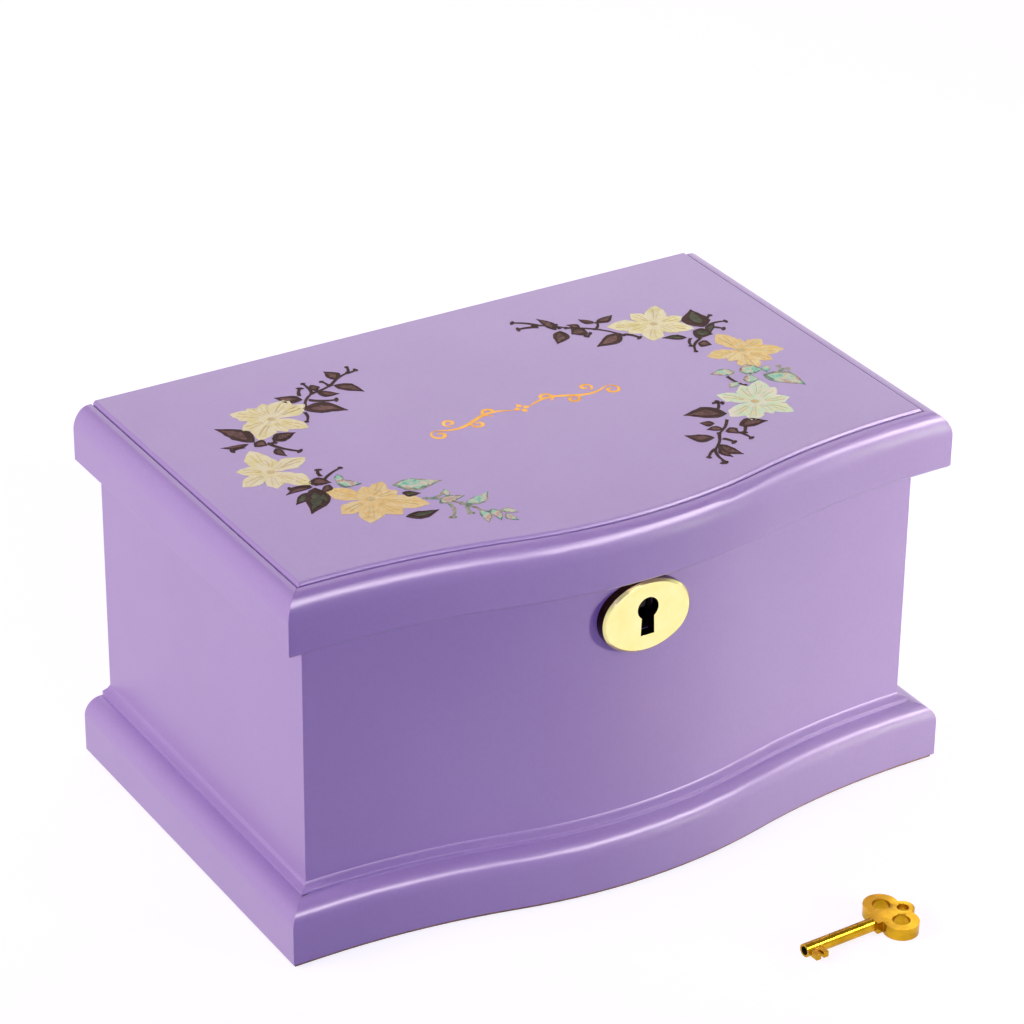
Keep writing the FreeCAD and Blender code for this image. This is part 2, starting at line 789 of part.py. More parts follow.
def oval(width, height, end_radius):
    """Upright oval face of four tangent arcs about the origin, wider than it is high."""
    offset = width - end_radius
    top_radius = (offset**2 + height**2 - end_radius**2) / (2 * (height - end_radius))
    drop = top_radius - height
    reach = end_radius / math.hypot(offset, drop)
    meeting = Vector(offset + offset * reach, 0, drop * reach)
    corners = [Vector(x * meeting.x, 0, z * meeting.z) for x, z in ((1, 1), (-1, 1), (-1, -1), (1, -1))]
    centres = [Vector(0, 0, -drop), Vector(-offset, 0, 0), Vector(0, 0, drop), Vector(offset, 0, 0)]
    edges = [
        arc(centre, start, end)
        for centre, start, end in zip(centres, corners, corners[1:] + corners[:1])
    ]
    return Part.Face(Part.Wire(edges))


def escutcheon():
    """Oval plate with a bevelled edge, hollowed at the back to the bow of the front."""
    face = oval(ESCUTCHEON_WIDTH / 2, ESCUTCHEON_HEIGHT / 2, ESCUTCHEON_END_RADIUS)
    front = apex_y - ESCUTCHEON_PROUD
    face.translate(Vector(0, front, keyhole_z - ESCUTCHEON_DROP))
    plate = face.extrude(BACK * (ESCUTCHEON_PROUD + WALL / 2))
    rim = [edge for edge in plate.Edges if edge.BoundBox.YMax < front + 1e-3]
    plate = plate.makeChamfer(ESCUTCHEON_BEVEL, rim)
    wall = along_front(strip_section((-WALL, 0), (FELT, rim_z)))
    return plate.cut([wall, keyhole_tool((front, apex_y + WALL))])


def lock_plate():
    half = LOCK_WIDTH / 2
    sheet = box((-half, half), (lock_front_y, lock_room_front), (rim_z - LOCK_HEIGHT, rim_z))
    return sheet.cut(key_opening((lock_front_y, lock_room_front)))


def prong_slot():
    """Slot in the top of the lock that the lid's prong drops through."""
    x = (prong_x - PRONG_CLEARANCE, prong_x + PRONG_THICKNESS + PRONG_CLEARANCE)
    reach = PRONG_WIDTH / 2 + PRONG_CLEARANCE
    return box(x, (lock_middle_y - reach, lock_middle_y + reach), (rim_z - LOCK_SHEET, rim_z))


def lock_body():
    """Open pan with the pin that the key's bore fits, and a ledge that the bolt slides on."""
    half = LOCK_WIDTH / 2
    room_half = half - LOCK_SHEET
    bottom = rim_z - LOCK_HEIGHT
    pan = box((-half, half), (lock_room_front, lock_back_y), (bottom, rim_z))
    room_z = (bottom + LOCK_SHEET, rim_z - LOCK_SHEET)
    room = box((-room_half, room_half), (lock_room_front, lock_room_back), room_z)
    pan = pan.cut([room, prong_slot()])
    pin = rod(DRILL_PIN_RADIUS, (0, lock_room_back, keyhole_z), (0, apex_y, keyhole_z))
    ledge_z = (bolt_bottom - BOLT_CLEARANCE - LOCK_SHEET, bolt_bottom - BOLT_CLEARANCE)
    ledge = box((-room_half, BOLT_TRAVEL), (lock_middle_y, lock_room_back), ledge_z)
    return joined(pan, pin, ledge)


def lock_bolt():
    """Bar drawn back, with a notch for the key's bit and a nose that passes through the prong."""
    y = (lock_room_front + BOLT_CLEARANCE, lock_room_back - BOLT_CLEARANCE)
    bar = box((-BOLT_LENGTH, 0), y, (bolt_bottom, bolt_top))
    middle_z = (bolt_bottom + bolt_top) / 2
    nose_y = (lock_middle_y - BOLT_NOSE_THICKNESS / 2, lock_middle_y + BOLT_NOSE_THICKNESS / 2)
    nose_z = (middle_z - BOLT_NOSE_HEIGHT / 2, middle_z + BOLT_NOSE_HEIGHT / 2)
    nose = box((0, BOLT_NOSE_LENGTH), nose_y, nose_z)
    notch_x = (-BOLT_LENGTH / 2 - BOLT_TRAVEL / 2, -BOLT_LENGTH / 2 + BOLT_TRAVEL / 2)
    notch = box(notch_x, (y[0], lock_middle_y), (bolt_bottom, bolt_bottom + LOCK_SHEET))
    return joined(bar, nose).cut(notch)


def link_plate_bed():
    """Plate of the lid's half of the lock, let into the underside of the front rail."""
    half = LINK_PLATE_LENGTH / 2
    return box((-half, half), (lock_front_y, lock_back_y), (lid_z, lid_z + LINK_PLATE))


def link_plate():
    reach = PRONG_WIDTH / 2
    prong_y = (lock_middle_y - reach, lock_middle_y + reach)
    prong = box((prong_x, prong_x + PRONG_THICKNESS), prong_y, (lid_z - PRONG_LENGTH, lid_z))
    middle_z = (bolt_bottom + bolt_top) / 2
    window_y = BOLT_NOSE_THICKNESS / 2 + PRONG_WINDOW_GAP
    window_z = BOLT_NOSE_HEIGHT / 2 + PRONG_WINDOW_GAP
    window = box(
        (prong_x, prong_x + PRONG_THICKNESS),
        (lock_middle_y - window_y, lock_middle_y + window_y),
        (middle_z - window_z, middle_z + window_z),
    )
    return joined(link_plate_bed(), prong.cut(window))


def lock_key():
    """Pipe key with two large lobes and a small one, modelled along +X from its tip and laid on the table."""
    end_x = KEY_LENGTH - KEY_END_LOBE_RADIUS
    lobe_x = end_x - KEY_END_LOBE_REACH
    lobes = [
        (KEY_END_LOBE_RADIUS, KEY_END_LOBE_HOLE, end_x, 0),
        (KEY_LOBE_RADIUS, KEY_LOBE_HOLE, lobe_x, KEY_LOBE_SPREAD),
        (KEY_LOBE_RADIUS, KEY_LOBE_HOLE, lobe_x, -KEY_LOBE_SPREAD),
    ]
    half = KEY_BOW_THICKNESS / 2
    bow = [rod(radius, (x, y, -half), (x, y, half)) for radius, hole, x, y in lobes]
    holes = [rod(hole, (x, y, -half), (x, y, half)) for radius, hole, x, y in lobes]
    neck_x = lobe_x - KEY_LOBE_RADIUS - KEY_NECK_LENGTH / 2
    neck_half = KEY_NECK_WIDTH / 2
    neck = box((neck_x, end_x - KEY_END_LOBE_HOLE), (-neck_half, neck_half), (-half, half))
    barrel = rod(KEY_BARREL_RADIUS, (0, 0, 0), (neck_x, 0, 0))
    bit_half = KEY_BIT_THICKNESS / 2
    bit_x = (KEY_BIT_START, KEY_BIT_START + KEY_BIT_LENGTH)
    bit_y = -KEY_BARREL_RADIUS - KEY_BIT_REACH
    bit = box(bit_x, (bit_y, 0), (-bit_half, bit_half))
    notch_x = (sum(bit_x) / 2 - KEY_BIT_NOTCH / 2, sum(bit_x) / 2 + KEY_BIT_NOTCH / 2)
    notch = box(notch_x, (bit_y, bit_y + 2 * KEY_BIT_NOTCH), (-bit_half, bit_half))
    bore = rod(KEY_BORE_RADIUS, (0, 0, 0), (KEY_BORE_DEPTH, 0, 0))
    key = joined(barrel, neck, bit, *bow).cut(holes + [bore, notch])
    key.rotate(ORIGIN, UP, KEY_TURN)
    key.translate(Vector(KEY_TIP_X, KEY_TIP_Y, max(KEY_BARREL_RADIUS, half)))
    return key


def stage_room(margin, z):
    """Box of the stage's outline, smaller by a margin on every side."""
    x = (margin - stage_half, stage_half - margin)
    return box(x, (stage_front + margin, lined_back - margin), z)


def wall_lining():
    z = (floor_top, rim_z - LINING_REVEAL)
    ring = plan_slab(inner_half, -WALL, inner_back, z)
    room = plan_slab(lined_half, -WALL - LINING, lined_back, z)
    return ring.cut([room, lock_pocket(), stay_case_stud()])


def floor_lining():
    z = (floor_top, floor_top + LINING)
    return plan_slab(lined_half, -WALL - LINING, lined_back, z).cut(stage_room(0, z))


def stage_walls():
    """Front and two sides of the housing that hides the movement, open to the back wall."""
    z = (floor_top, stage_z)
    room = box(
        (STAGE_BOARD - stage_half, stage_half - STAGE_BOARD),
        (stage_front + STAGE_BOARD, lined_back),
        z,
    )
    return stage_room(0, z).cut(room)


def spindle_hole(z):
    return rod(SPINDLE_RADIUS + SPINDLE_CLEARANCE, (0, stage_y, z[0]), (0, stage_y, z[1]))


def stage_top():
    z = (stage_z, stage_top_z)
    radius = PLUNGER_RADIUS + PLUNGER_CLEARANCE
    guide = rod(radius, (plunger_x, plunger_y, z[0]), (plunger_x, plunger_y, z[1]))
    return stage_room(0, z).cut([spindle_hole(z), guide])


def stage_mirror():
    z = (stage_top_z, stage_mirror_z)
    half_x = stage_half - STAGE_MIRROR_SIDE_MARGIN
    half_y = stage_y - stage_front - STAGE_MIRROR_END_MARGIN
    glass = box((-half_x, half_x), (stage_y - half_y, stage_y + half_y), z)
    return glass.cut(spindle_hole(z))


def dividers():
    y = (stage_front, stage_front + STAGE_BOARD)
    board = box((stage_half, lined_half), y, (floor_top + LINING, stage_top_z))
    return Part.makeCompound([board, mirrored(board)])


def ring_rolls():
    """Row of padded rolls with arched tops in the left-hand compartment."""
    front = stage_front + STAGE_BOARD
    pitch = (lined_back - front) / RING_ROLL_COUNT
    radius = (pitch - RING_ROLL_GAP) / 2
    low = floor_top + LINING
    spring_z = low + RING_ROLL_HEIGHT - radius
    x = RING_ROLL_GAP - lined_half
    length = lined_half - stage_half - 2 * RING_ROLL_GAP
    rolls = []
    for number in range(RING_ROLL_COUNT):
        y = front + pitch * (number + 0.5)
        arch = [math.pi * step / RING_ROLL_FLATS for step in range(RING_ROLL_FLATS + 1)]
        outline = [(x, y + radius * math.cos(a), spring_z + radius * math.sin(a)) for a in arch]
        outline += [(x, y - radius, low), (x, y + radius, low)]
        rolls.append(polygon(outline).extrude(RIGHT * length))
    return Part.makeCompound(rolls)


def gear_face(teeth, module, phase):
    """Outline of a spur gear in the XY plane, with a tooth centred on the phase angle in degrees."""
    pitch_radius = teeth * module / 2
    root = pitch_radius - TOOTH_DEDENDUM * module
    tip = pitch_radius + TOOTH_ADDENDUM * module
    root_half = math.pi * module * ROOT_SHARE / 2 / pitch_radius
    tip_half = math.pi * module * TIP_SHARE / 2 / tip
    points = []
    for tooth in range(teeth):
        middle = math.radians(phase) + 2 * math.pi * tooth / teeth
        for radius, offset in ((root, -root_half), (tip, -tip_half), (tip, tip_half), (root, root_half)):
            angle = middle + offset
            points.append((radius * math.cos(angle), radius * math.sin(angle), 0))
    return polygon(points)


def axle_gear(teeth, module, phase, x, y, face):
    """Gear on an axle along X. The phase is measured from straight down towards the back."""
    gear = gear_face(teeth, module, phase)
    gear.rotate(ORIGIN, BACK, 90)
    gear.translate(Vector(x, y, axle_z))
    return gear.extrude(RIGHT * face)


def movement_bedplate():
    """Plate with the comb's pedestal and the boss that guides the stop plunger."""
    plate = box((bed_left, bed_right), (bed_front, bed_back), (floor_top, bed_top))
    upright = [edge for edge in plate.Edges if abs(edge.BoundBox.ZLength - BEDPLATE) < 1e-3]
    plate = plate.makeChamfer(BEDPLATE_CORNER, upright)
    comb_end = comb_x + COMB_TEETH * COMB_PITCH
    pedestal = box((comb_x, comb_end), (comb_back_y, comb_root_y), (bed_top, comb_base_z))
    half = PLUNGER_BOSS_WIDTH / 2
    boss_top = bed_top + PLUNGER_BOSS
    boss_y = (plunger_y - half, plunger_y + half)
    boss = box((plunger_x - half, plunger_x + half), boss_y, (bed_top, boss_top))
    guide_radius = PLUNGER_RADIUS + PLUNGER_CLEARANCE
    guide = rod(guide_radius, (plunger_x, plunger_y, bed_top), (plunger_x, plunger_y, boss_top))
    arbor = rod(ARBOR_RADIUS + RUNNING_CLEARANCE, (0, stage_y, floor_top), (0, stage_y, bed_top))
    pivot_radius = GOVERNOR_ARBOR_RADIUS + RUNNING_CLEARANCE
    pivot = rod(pivot_radius, (worm_x, worm_y, floor_top), (worm_x, worm_y, bed_top))
    return joined(plate, pedestal, boss).cut([guide, arbor, pivot])


def comb():
    """Steel comb: a thick root on the pedestal and teeth whose slots grow longer to the bass end."""
    length = COMB_TEETH * COMB_PITCH
    x = (comb_x, comb_x + length)
    root = box(x, (comb_back_y, comb_root_y), (comb_base_z, axle_z))
    tongue = box(x, (comb_root_y, comb_tip_y), (axle_z - COMB_THICKNESS, axle_z))
    slots = []
    for number in range(1, COMB_TEETH):
        middle = comb_x + number * COMB_PITCH
        start = comb_root_y + COMB_SLOT_STEP * number
        slot_x = (middle - COMB_SLOT / 2, middle + COMB_SLOT / 2)
        slots.append(box(slot_x, (start, comb_tip_y), (axle_z - COMB_THICKNESS, axle_z)))
    return joined(root, tongue).cut(slots)


def music_cylinder():
    """Pinned cylinder on its arbor, with the pinion at the barrel and the gear at the far end."""
    arbor_x = (pinion_x, outer_bearing_x + BEARING)
    drum_x = (cylinder_x, cylinder_x + CYLINDER_LENGTH)
    drum = rod(CYLINDER_RADIUS, (drum_x[0], stage_y, axle_z), (drum_x[1], stage_y, axle_z))
    length = arbor_x[1] - arbor_x[0]
    arbor = bar(CYLINDER_ARBOR_RADIUS, (arbor_x[0], stage_y, axle_z), length, True, BAR_SIDES)
    pinion = axle_gear(PINION_TEETH, CROWN_MODULE, 180 / PINION_TEETH, pinion_x, stage_y, PINION_FACE)
    gear = axle_gear(CYLINDER_GEAR_TEETH, TRAIN_MODULE, 90, cylinder_gear_x, stage_y, TRAIN_FACE)
    half = PIN_SIDE / 2
    pins = []
    for track in range(COMB_TEETH):
        x = comb_x + (track + 0.5) * COMB_PITCH
        pin_z = (CYLINDER_RADIUS - PIN_HEIGHT, CYLINDER_RADIUS + PIN_HEIGHT)
        pin = box((x - half, x + half), (-half, half), pin_z)
        pin.rotate(ORIGIN, RIGHT, PIN_TURN * track)
        pin.translate(Vector(0, stage_y, axle_z))
        pins.append(pin)
    return joined(drum, arbor, pinion, gear, *pins)


def cylinder_bearing(x, y, foot_x):
    """Upright bearing plate with a foot on the bedplate, before its slots are cut."""
    upright = box((x, x + BEARING), y, (bed_top, axle_z + BEARING_CAP))
    half = BEARING_WIDTH / 2
    foot = box(foot_x, (stage_y - half, stage_y + half), (bed_top, bed_top + BEARING))
    return joined(upright, foot)


def axle_slot(radius, x, y):
    """Slot, open at the top, that an axle lies in."""
    reach = radius + RUNNING_CLEARANCE
    return box((x, x + BEARING), (y - reach, y + reach), (axle_z - reach, axle_z + BEARING_CAP))


def cylinder_bearing_inner():
    half = BEARING_WIDTH / 2
    foot_x = (inner_bearing_x + BEARING, inner_bearing_x + BEARING + BEARING_FOOT)
    bearing = cylinder_bearing(inner_bearing_x, (stage_y - half, stage_y + half), foot_x)
    return bearing.cut(axle_slot(CYLINDER_ARBOR_RADIUS, inner_bearing_x, stage_y))


def cylinder_bearing_outer():
    y = (stage_y - BEARING_WIDTH / 2, governor_y + BEARING_CAP)
    foot_x = (outer_bearing_x - BEARING_FOOT, outer_bearing_x)
    bearing = cylinder_bearing(outer_bearing_x, y, foot_x)
    slots = [
        axle_slot(CYLINDER_ARBOR_RADIUS, outer_bearing_x, stage_y),
        axle_slot(GOVERNOR_ARBOR_RADIUS, outer_bearing_x, governor_y),
    ]
    return bearing.cut(slots)


def governor_bracket():
    """Upright that carries the governor wheel's inner end, with a post and an arm over the fan."""
    x = (governor_bracket_x, governor_bracket_x + BEARING)
    low_y = governor_y - GOVERNOR_ARBOR_RADIUS - BEARING
    back = worm_y + BEARING
    upright = box(x, (low_y, back), (bed_top, axle_z + BEARING_CAP))
    post = box(x, (worm_y - BEARING, back), (bed_top, bracket_top_z + BEARING))
    arm = box((x[0], worm_x + BEARING), (worm_y - BEARING, back), (bracket_top_z, bracket_top_z + BEARING))
    foot = box((x[0] - BEARING_FOOT, x[0]), (governor_y, back), (bed_top, bed_top + BEARING))
    pivot_radius = GOVERNOR_ARBOR_RADIUS + RUNNING_CLEARANCE
    pivot = rod(pivot_radius, (worm_x, worm_y, bracket_top_z), (worm_x, worm_y, bracket_top_z + BEARING))
    bracket = joined(upright, post, arm, foot)
    return bracket.cut([axle_slot(GOVERNOR_ARBOR_RADIUS, x[0], governor_y), pivot])


def governor_wheel():
    """Arbor with the pinion that the cylinder drives and the wheel that drives the worm."""
    ends = [(x, governor_y, axle_z) for x in (governor_bracket_x, outer_bearing_x + BEARING)]
    arbor = rod(GOVERNOR_ARBOR_RADIUS, *ends)
    phase = 180 / GOVERNOR_PINION_TEETH - 90
    pinion = axle_gear(GOVERNOR_PINION_TEETH, TRAIN_MODULE, phase, cylinder_gear_x, governor_y, TRAIN_FACE)
    wheel = axle_gear(WORM_WHEEL_TEETH, WORM_MODULE, 90, worm_wheel_x, governor_y, WORM_WHEEL_FACE)
    return joined(arbor, pinion, wheel)


def facet_solid(rows, closed):
    """Solid of triangles between neighbouring closed rows of points, a ring of rows or one with flat ends."""
    faces = []
    pairs = list(zip(rows, rows[1:]))
    if closed:
        pairs.append((rows[-1], rows[0]))
    else:
        faces += [polygon(rows[0][::-1]), polygon(rows[-1])]
    count = len(rows[0])
    for first, second in pairs:
        for number in range(count):
            after = (number + 1) % count
            faces.append(polygon([first[number], first[after], second[after]]))
            faces.append(polygon([first[number], second[after], second[number]]))
    shell = Part.makeShell(faces)
    shell.sewShape()
    solid = Part.makeSolid(shell)
    if solid.Volume < 0:
        solid.reverse()
    return solid


def worm_thread():
    """Right-hand thread of the worm, whose groove faces the wheel's tooth at axle height."""
    root = WORM_PITCH_RADIUS - TOOTH_DEDENDUM * WORM_MODULE
    tip = WORM_PITCH_RADIUS + TOOTH_ADDENDUM * WORM_MODULE
    sunk = root / 2
    root_half = worm_pitch * ROOT_SHARE / 2
    tip_half = worm_pitch * TIP_SHARE / 2
    corners = ((sunk, -root_half), (tip, -tip_half), (tip, tip_half), (sunk, root_half))
    rows = []
    for step in range(WORM_TURNS * BAR_SIDES + 1):
        angle = 2 * math.pi * step / BAR_SIDES
        z = worm_low_z + worm_pitch * step / BAR_SIDES
        x_way, y_way = math.cos(angle), math.sin(angle)
        rows.append([(worm_x + r * x_way, worm_y + r * y_way, z + rise) for r, rise in corners])
    return facet_solid(rows, False)


def governor_fan():
    """Worm and two-bladed fan on an upright arbor."""
    length = bracket_top_z + BEARING - floor_top
    arbor = bar(GOVERNOR_ARBOR_RADIUS, (worm_x, worm_y, floor_top), length, False, BAR_SIDES)
    root = WORM_PITCH_RADIUS - TOOTH_DEDENDUM * WORM_MODULE
    low = worm_low_z - worm_pitch / 2
    core = bar(root, (worm_x, worm_y, low), fan_top - low, False, BAR_SIDES)
    x = (worm_x - FAN_RADIUS, worm_x + FAN_RADIUS)
    blades = box(x, (worm_y - FAN_BLADE / 2, worm_y + FAN_BLADE / 2), (fan_z, fan_top))
    return joined(core, worm_thread(), arbor, blades)


def crown_tooth(angle):
    """Radial tooth on the barrel's flange."""
    pitch = math.pi * CROWN_MODULE
    top = crown_root_z + (TOOTH_DEDENDUM + TOOTH_ADDENDUM) * CROWN_MODULE
    root_half = pitch * ROOT_SHARE / 2
    tip_half = pitch * TIP_SHARE / 2
    x = crown_outer_radius - CROWN_FACE
    tooth = polygon([
        (x, -root_half, crown_root_z),
        (x, root_half, crown_root_z),
        (x, tip_half, top),
        (x, -tip_half, top),
    ]).extrude(RIGHT * CROWN_FACE)
    tooth.rotate(ORIGIN, UP, angle)
    tooth.translate(BACK * stage_y)
    return tooth


def spring_barrel():
    """Closed drum on a flange whose upper face carries the crown teeth, with the dancer's spindle on top."""
    flange = bar(flange_radius, (0, stage_y, flange_z), crown_root_z - flange_z, False, DRUM_SIDES)
    drum = bar(DRUM_RADIUS, (0, stage_y, crown_root_z), drum_top - crown_root_z, False, DRUM_SIDES)
    spindle = rod(SPINDLE_RADIUS, (0, stage_y, drum_top), (0, stage_y, dancer_z + SPINDLE_SEAT))
    teeth = [crown_tooth(360 * number / CROWN_TEETH) for number in range(CROWN_TEETH)]
    bore = rod(ARBOR_RADIUS + RUNNING_CLEARANCE, (0, stage_y, flange_z), (0, stage_y, arbor_top + END_SHAKE))
    return joined(flange, drum, spindle, *teeth).cut(bore)


def winding_arbor():
    """Upright arbor from the winding key into the drum."""
    return rod(ARBOR_RADIUS, (0, stage_y, base_top + WINDING_SPACE / 2), (0, stage_y, arbor_top))


def winding_key():
    """Butterfly key under the floor board, reached through the hole in the base."""
    top = floor_z - END_SHAKE
    low = base_top + END_SHAKE
    y = stage_y - WINDING_WING / 2
    waist = low + WINDING_SPACE / 2
    outline = [
        (-WINDING_SPAN / 2, y, low),
        (-WINDING_HUB_RADIUS, y, low + WINDING_WING),
        (WINDING_HUB_RADIUS, y, low + WINDING_WING),
        (WINDING_SPAN / 2, y, low),
        (WINDING_SPAN / 2, y, waist + WINDING_WING),
        (WINDING_HUB_RADIUS, y, waist),
        (-WINDING_HUB_RADIUS, y, waist),
        (-WINDING_SPAN / 2, y, waist + WINDING_WING),
    ]
    wings = polygon(outline).extrude(BACK * WINDING_WING)
    hub = rod(WINDING_HUB_RADIUS, (0, stage_y, low + WINDING_WING), (0, stage_y, top))
    return joined(hub, wings).cut(winding_arbor())


def stop_plunger():
    """Rod that the closed lid holds down, with a finger beside the fan."""
    low = bed_top + END_SHAKE
    shank = rod(PLUNGER_RADIUS, (plunger_x, plunger_y, low), (plunger_x, plunger_y, lid_z - PLUNGER_TOP_GAP))
    half = FINGER_WIDTH / 2
    x = (plunger_x - half, plunger_x + half)
    finger = box(x, (finger_tip_y, plunger_y), (finger_z, finger_z + FINGER_HEIGHT))
    return joined(shank, finger)


def stop_spring():
    """Bent leaf from the bedplate up to the underside of the plunger's finger."""
    foot_y = plunger_y - PLUNGER_BOSS_WIDTH / 2 - 2 * STOP_SPRING_FOOT
    bend_y = foot_y + STOP_SPRING_FOOT
    end_y = bend_y + STOP_SPRING_FOOT / 2
    top = finger_z - STOP_SPRING_GAP
    x = plunger_x - STOP_SPRING_WIDTH / 2
    leaf = polygon([
        (x, foot_y, bed_top),
        (x, bend_y + STOP_SPRING, bed_top),
        (x, end_y + STOP_SPRING, top),
        (x, end_y, top),
        (x, bend_y, bed_top + STOP_SPRING),
        (x, foot_y, bed_top + STOP_SPRING),
    ])
    return leaf.extrude(RIGHT * STOP_SPRING_WIDTH)


def dancer_level(share):
    """Height above the table of a share of the dancer's height over the base."""
    return dancer_z + DANCER_BASE + share * DANCER_HEIGHT


def dancer_form(*stations):
    """Body or limb through level rings. A station is a radius, a place across, and a share of the height."""
    rows = []
    for radius, x, share in stations:
        rows.append(ring_points(radius, (x, stage_y, dancer_level(share)), DANCER_SIDES))
    return facet_solid(rows, False)


def dancer_figure():
    """Dancer on her points with both arms raised, on a small round base."""
    base = bar(DANCER_BASE_RADIUS, (0, stage_y, dancer_z), DANCER_BASE, False, 2 * BAR_SIDES)
    face_share = (CHIN_SHARE + CROWN_SHARE) / 2
    trunk = dancer_form(
        (THIGH_RADIUS, 0, HIP_SHARE - SHARE_STEP),
        (HIP_RADIUS, 0, HIP_SHARE),
        (WAIST_RADIUS, 0, WAIST_SHARE),
        (BUST_RADIUS, 0, BUST_SHARE),
        (WAIST_RADIUS, 0, SHOULDER_SHARE),
        (NECK_RADIUS, 0, SHOULDER_SHARE + SHARE_STEP / 2),
        (NECK_RADIUS, 0, CHIN_SHARE),
        (HEAD_RADIUS, 0, face_share),
        (NECK_RADIUS, 0, CROWN_SHARE),
        (BUN_RADIUS, 0, CROWN_SHARE + SHARE_STEP / 2),
        (BUN_RADIUS / 2, 0, CROWN_SHARE + SHARE_STEP),
    )
    limbs = []
    for side in (-1, 1):
        limbs.append(dancer_form(
            (THIGH_RADIUS, side * THIGH_RADIUS * LEG_SPREAD, HIP_SHARE - SHARE_STEP / 2),
            (CALF_RADIUS, side * CALF_RADIUS * LEG_SPREAD, KNEE_SHARE),
            (FOOT_RADIUS, side * FOOT_RADIUS * LEG_SPREAD, 0),
        ))
        limbs.append(dancer_form(
            (ARM_RADIUS, side * WAIST_RADIUS, SHOULDER_SHARE - SHARE_STEP / 2),
            (ARM_RADIUS, side * ELBOW_REACH, face_share),
            (HAND_RADIUS, side * (HAND_RADIUS + FINGER_GAP), 1),
        ))
    seat = rod(SPINDLE_RADIUS, (0, stage_y, dancer_z), (0, stage_y, dancer_z + SPINDLE_SEAT))
    return joined(base, trunk, *limbs).cut(seat)


def dancer_tutu():
    """Pleated disc skirt round the hips, whose sections rise and fall in turn towards the hem."""
    top = dancer_level(HIP_SHARE)
    half = TUTU_THICKNESS / 2
    waist = HIP_RADIUS + TUTU_WAIST_GAP
    rows = []
    for number in range(2 * TUTU_FOLDS):
        angle = math.pi * number / TUTU_FOLDS
        hem = top - TUTU_DROOP + (TUTU_WAVE if number % 2 else -TUTU_WAVE)
        corners = (
            (waist, top + half),
            (TUTU_RADIUS, hem + half),
            (TUTU_RADIUS, hem - half),
            (waist, top - half),
        )
        rows.append([(r * math.cos(angle), stage_y + r * math.sin(angle), z) for r, z in corners])
    return facet_solid(rows, True)


NODES = {
    "front_panel": front_panel,
    "left_panel": left_panel,
    "right_panel": right_panel,
    "back_panel": back_panel,
    "floor_board": floor_board,
    "base_board": base_board,
    "base_felt": base_felt,
    "plinth_front": plinth_front,
    "plinth_left": plinth_left,
    "plinth_right": plinth_right,
    "wall_lining": wall_lining,
    "floor_lining": floor_lining,
    "dividers": dividers,
    "ring_rolls": ring_rolls,
    "stage_walls": stage_walls,
    "stage_top": stage_top,
    "stage_mirror": stage_mirror,
    "escutcheon": escutcheon,
    "lock_plate": lock_plate,
    "lock_body": lock_body,
    "lock_bolt": lock_bolt,
    "lock_key": lock_key,
    "hinge_left_case_leaf": lambda: case_leaf(hinge_centres()[0]),
    "hinge_right_case_leaf": lambda: case_leaf(hinge_centres()[1]),
    "hinge_left_lid_leaf": lambda: lid_leaf(hinge_centres()[0]),
    "hinge_right_lid_leaf": lambda: lid_leaf(hinge_centres()[1]),
    "stay_case_stud": stay_case_stud,
    "stay_lid_stud": stay_lid_stud,
    "stay_arm": stay_arm,
    "lid_panel": lid_panel,
    "lid_rail_front": lid_rail_front,
    "lid_rail_left": lid_rail_left,
    "lid_rail_right": lid_rail_right,
    "lid_rail_back": lid_rail_back,
    "lid_backing": lid_backing,
    "lid_mirror": lid_mirror,
    "mirror_frame": mirror_frame,
    "link_plate": link_plate,
    "movement_bedplate": movement_bedplate,
    "comb": comb,
    "music_cylinder": music_cylinder,
    "cylinder_bearing_inner": cylinder_bearing_inner,
    "cylinder_bearing_outer": cylinder_bearing_outer,
    "governor_bracket": governor_bracket,
    "governor_wheel": governor_wheel,
    "governor_fan": governor_fan,
    "spring_barrel": spring_barrel,
    "winding_arbor": winding_arbor,
    "winding_key": winding_key,
    "stop_plunger": stop_plunger,
    "stop_spring": stop_spring,
    "dancer_figure": dancer_figure,
    "dancer_tutu": dancer_tutu,
}


def main():
    os.makedirs("parts", exist_ok=True)
    for name, build in NODES.items():
        build().exportStep(os.path.join("parts", name + ".step"))


main()
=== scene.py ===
import json
import math
import random

import bpy
from mathutils import Matrix, Vector


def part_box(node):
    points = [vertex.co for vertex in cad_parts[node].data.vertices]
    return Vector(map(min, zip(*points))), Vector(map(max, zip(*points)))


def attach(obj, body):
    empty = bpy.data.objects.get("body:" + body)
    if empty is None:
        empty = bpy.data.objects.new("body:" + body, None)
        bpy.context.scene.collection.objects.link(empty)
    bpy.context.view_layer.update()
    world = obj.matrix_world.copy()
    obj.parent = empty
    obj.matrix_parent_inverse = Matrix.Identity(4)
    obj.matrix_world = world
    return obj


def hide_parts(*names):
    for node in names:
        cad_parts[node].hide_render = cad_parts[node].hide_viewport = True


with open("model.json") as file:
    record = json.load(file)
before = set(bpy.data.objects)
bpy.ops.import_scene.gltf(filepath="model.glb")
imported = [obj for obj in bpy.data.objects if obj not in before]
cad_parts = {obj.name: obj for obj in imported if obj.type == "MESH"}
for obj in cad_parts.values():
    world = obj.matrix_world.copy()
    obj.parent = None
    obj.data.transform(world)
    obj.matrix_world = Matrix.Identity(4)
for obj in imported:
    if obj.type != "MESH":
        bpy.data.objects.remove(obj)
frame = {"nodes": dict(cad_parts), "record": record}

# Pieces are written in millimetres, and the camera, the lamps and the floor in metres.
MM = 0.001
nodes = frame["nodes"]
scene = bpy.context.scene
scene.view_settings.view_transform = "Standard"
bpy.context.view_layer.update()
chance = random.Random(11)

# Most values of a noise texture lie between these two.
NOISE_LOW = 0.3
NOISE_HIGH = 0.7
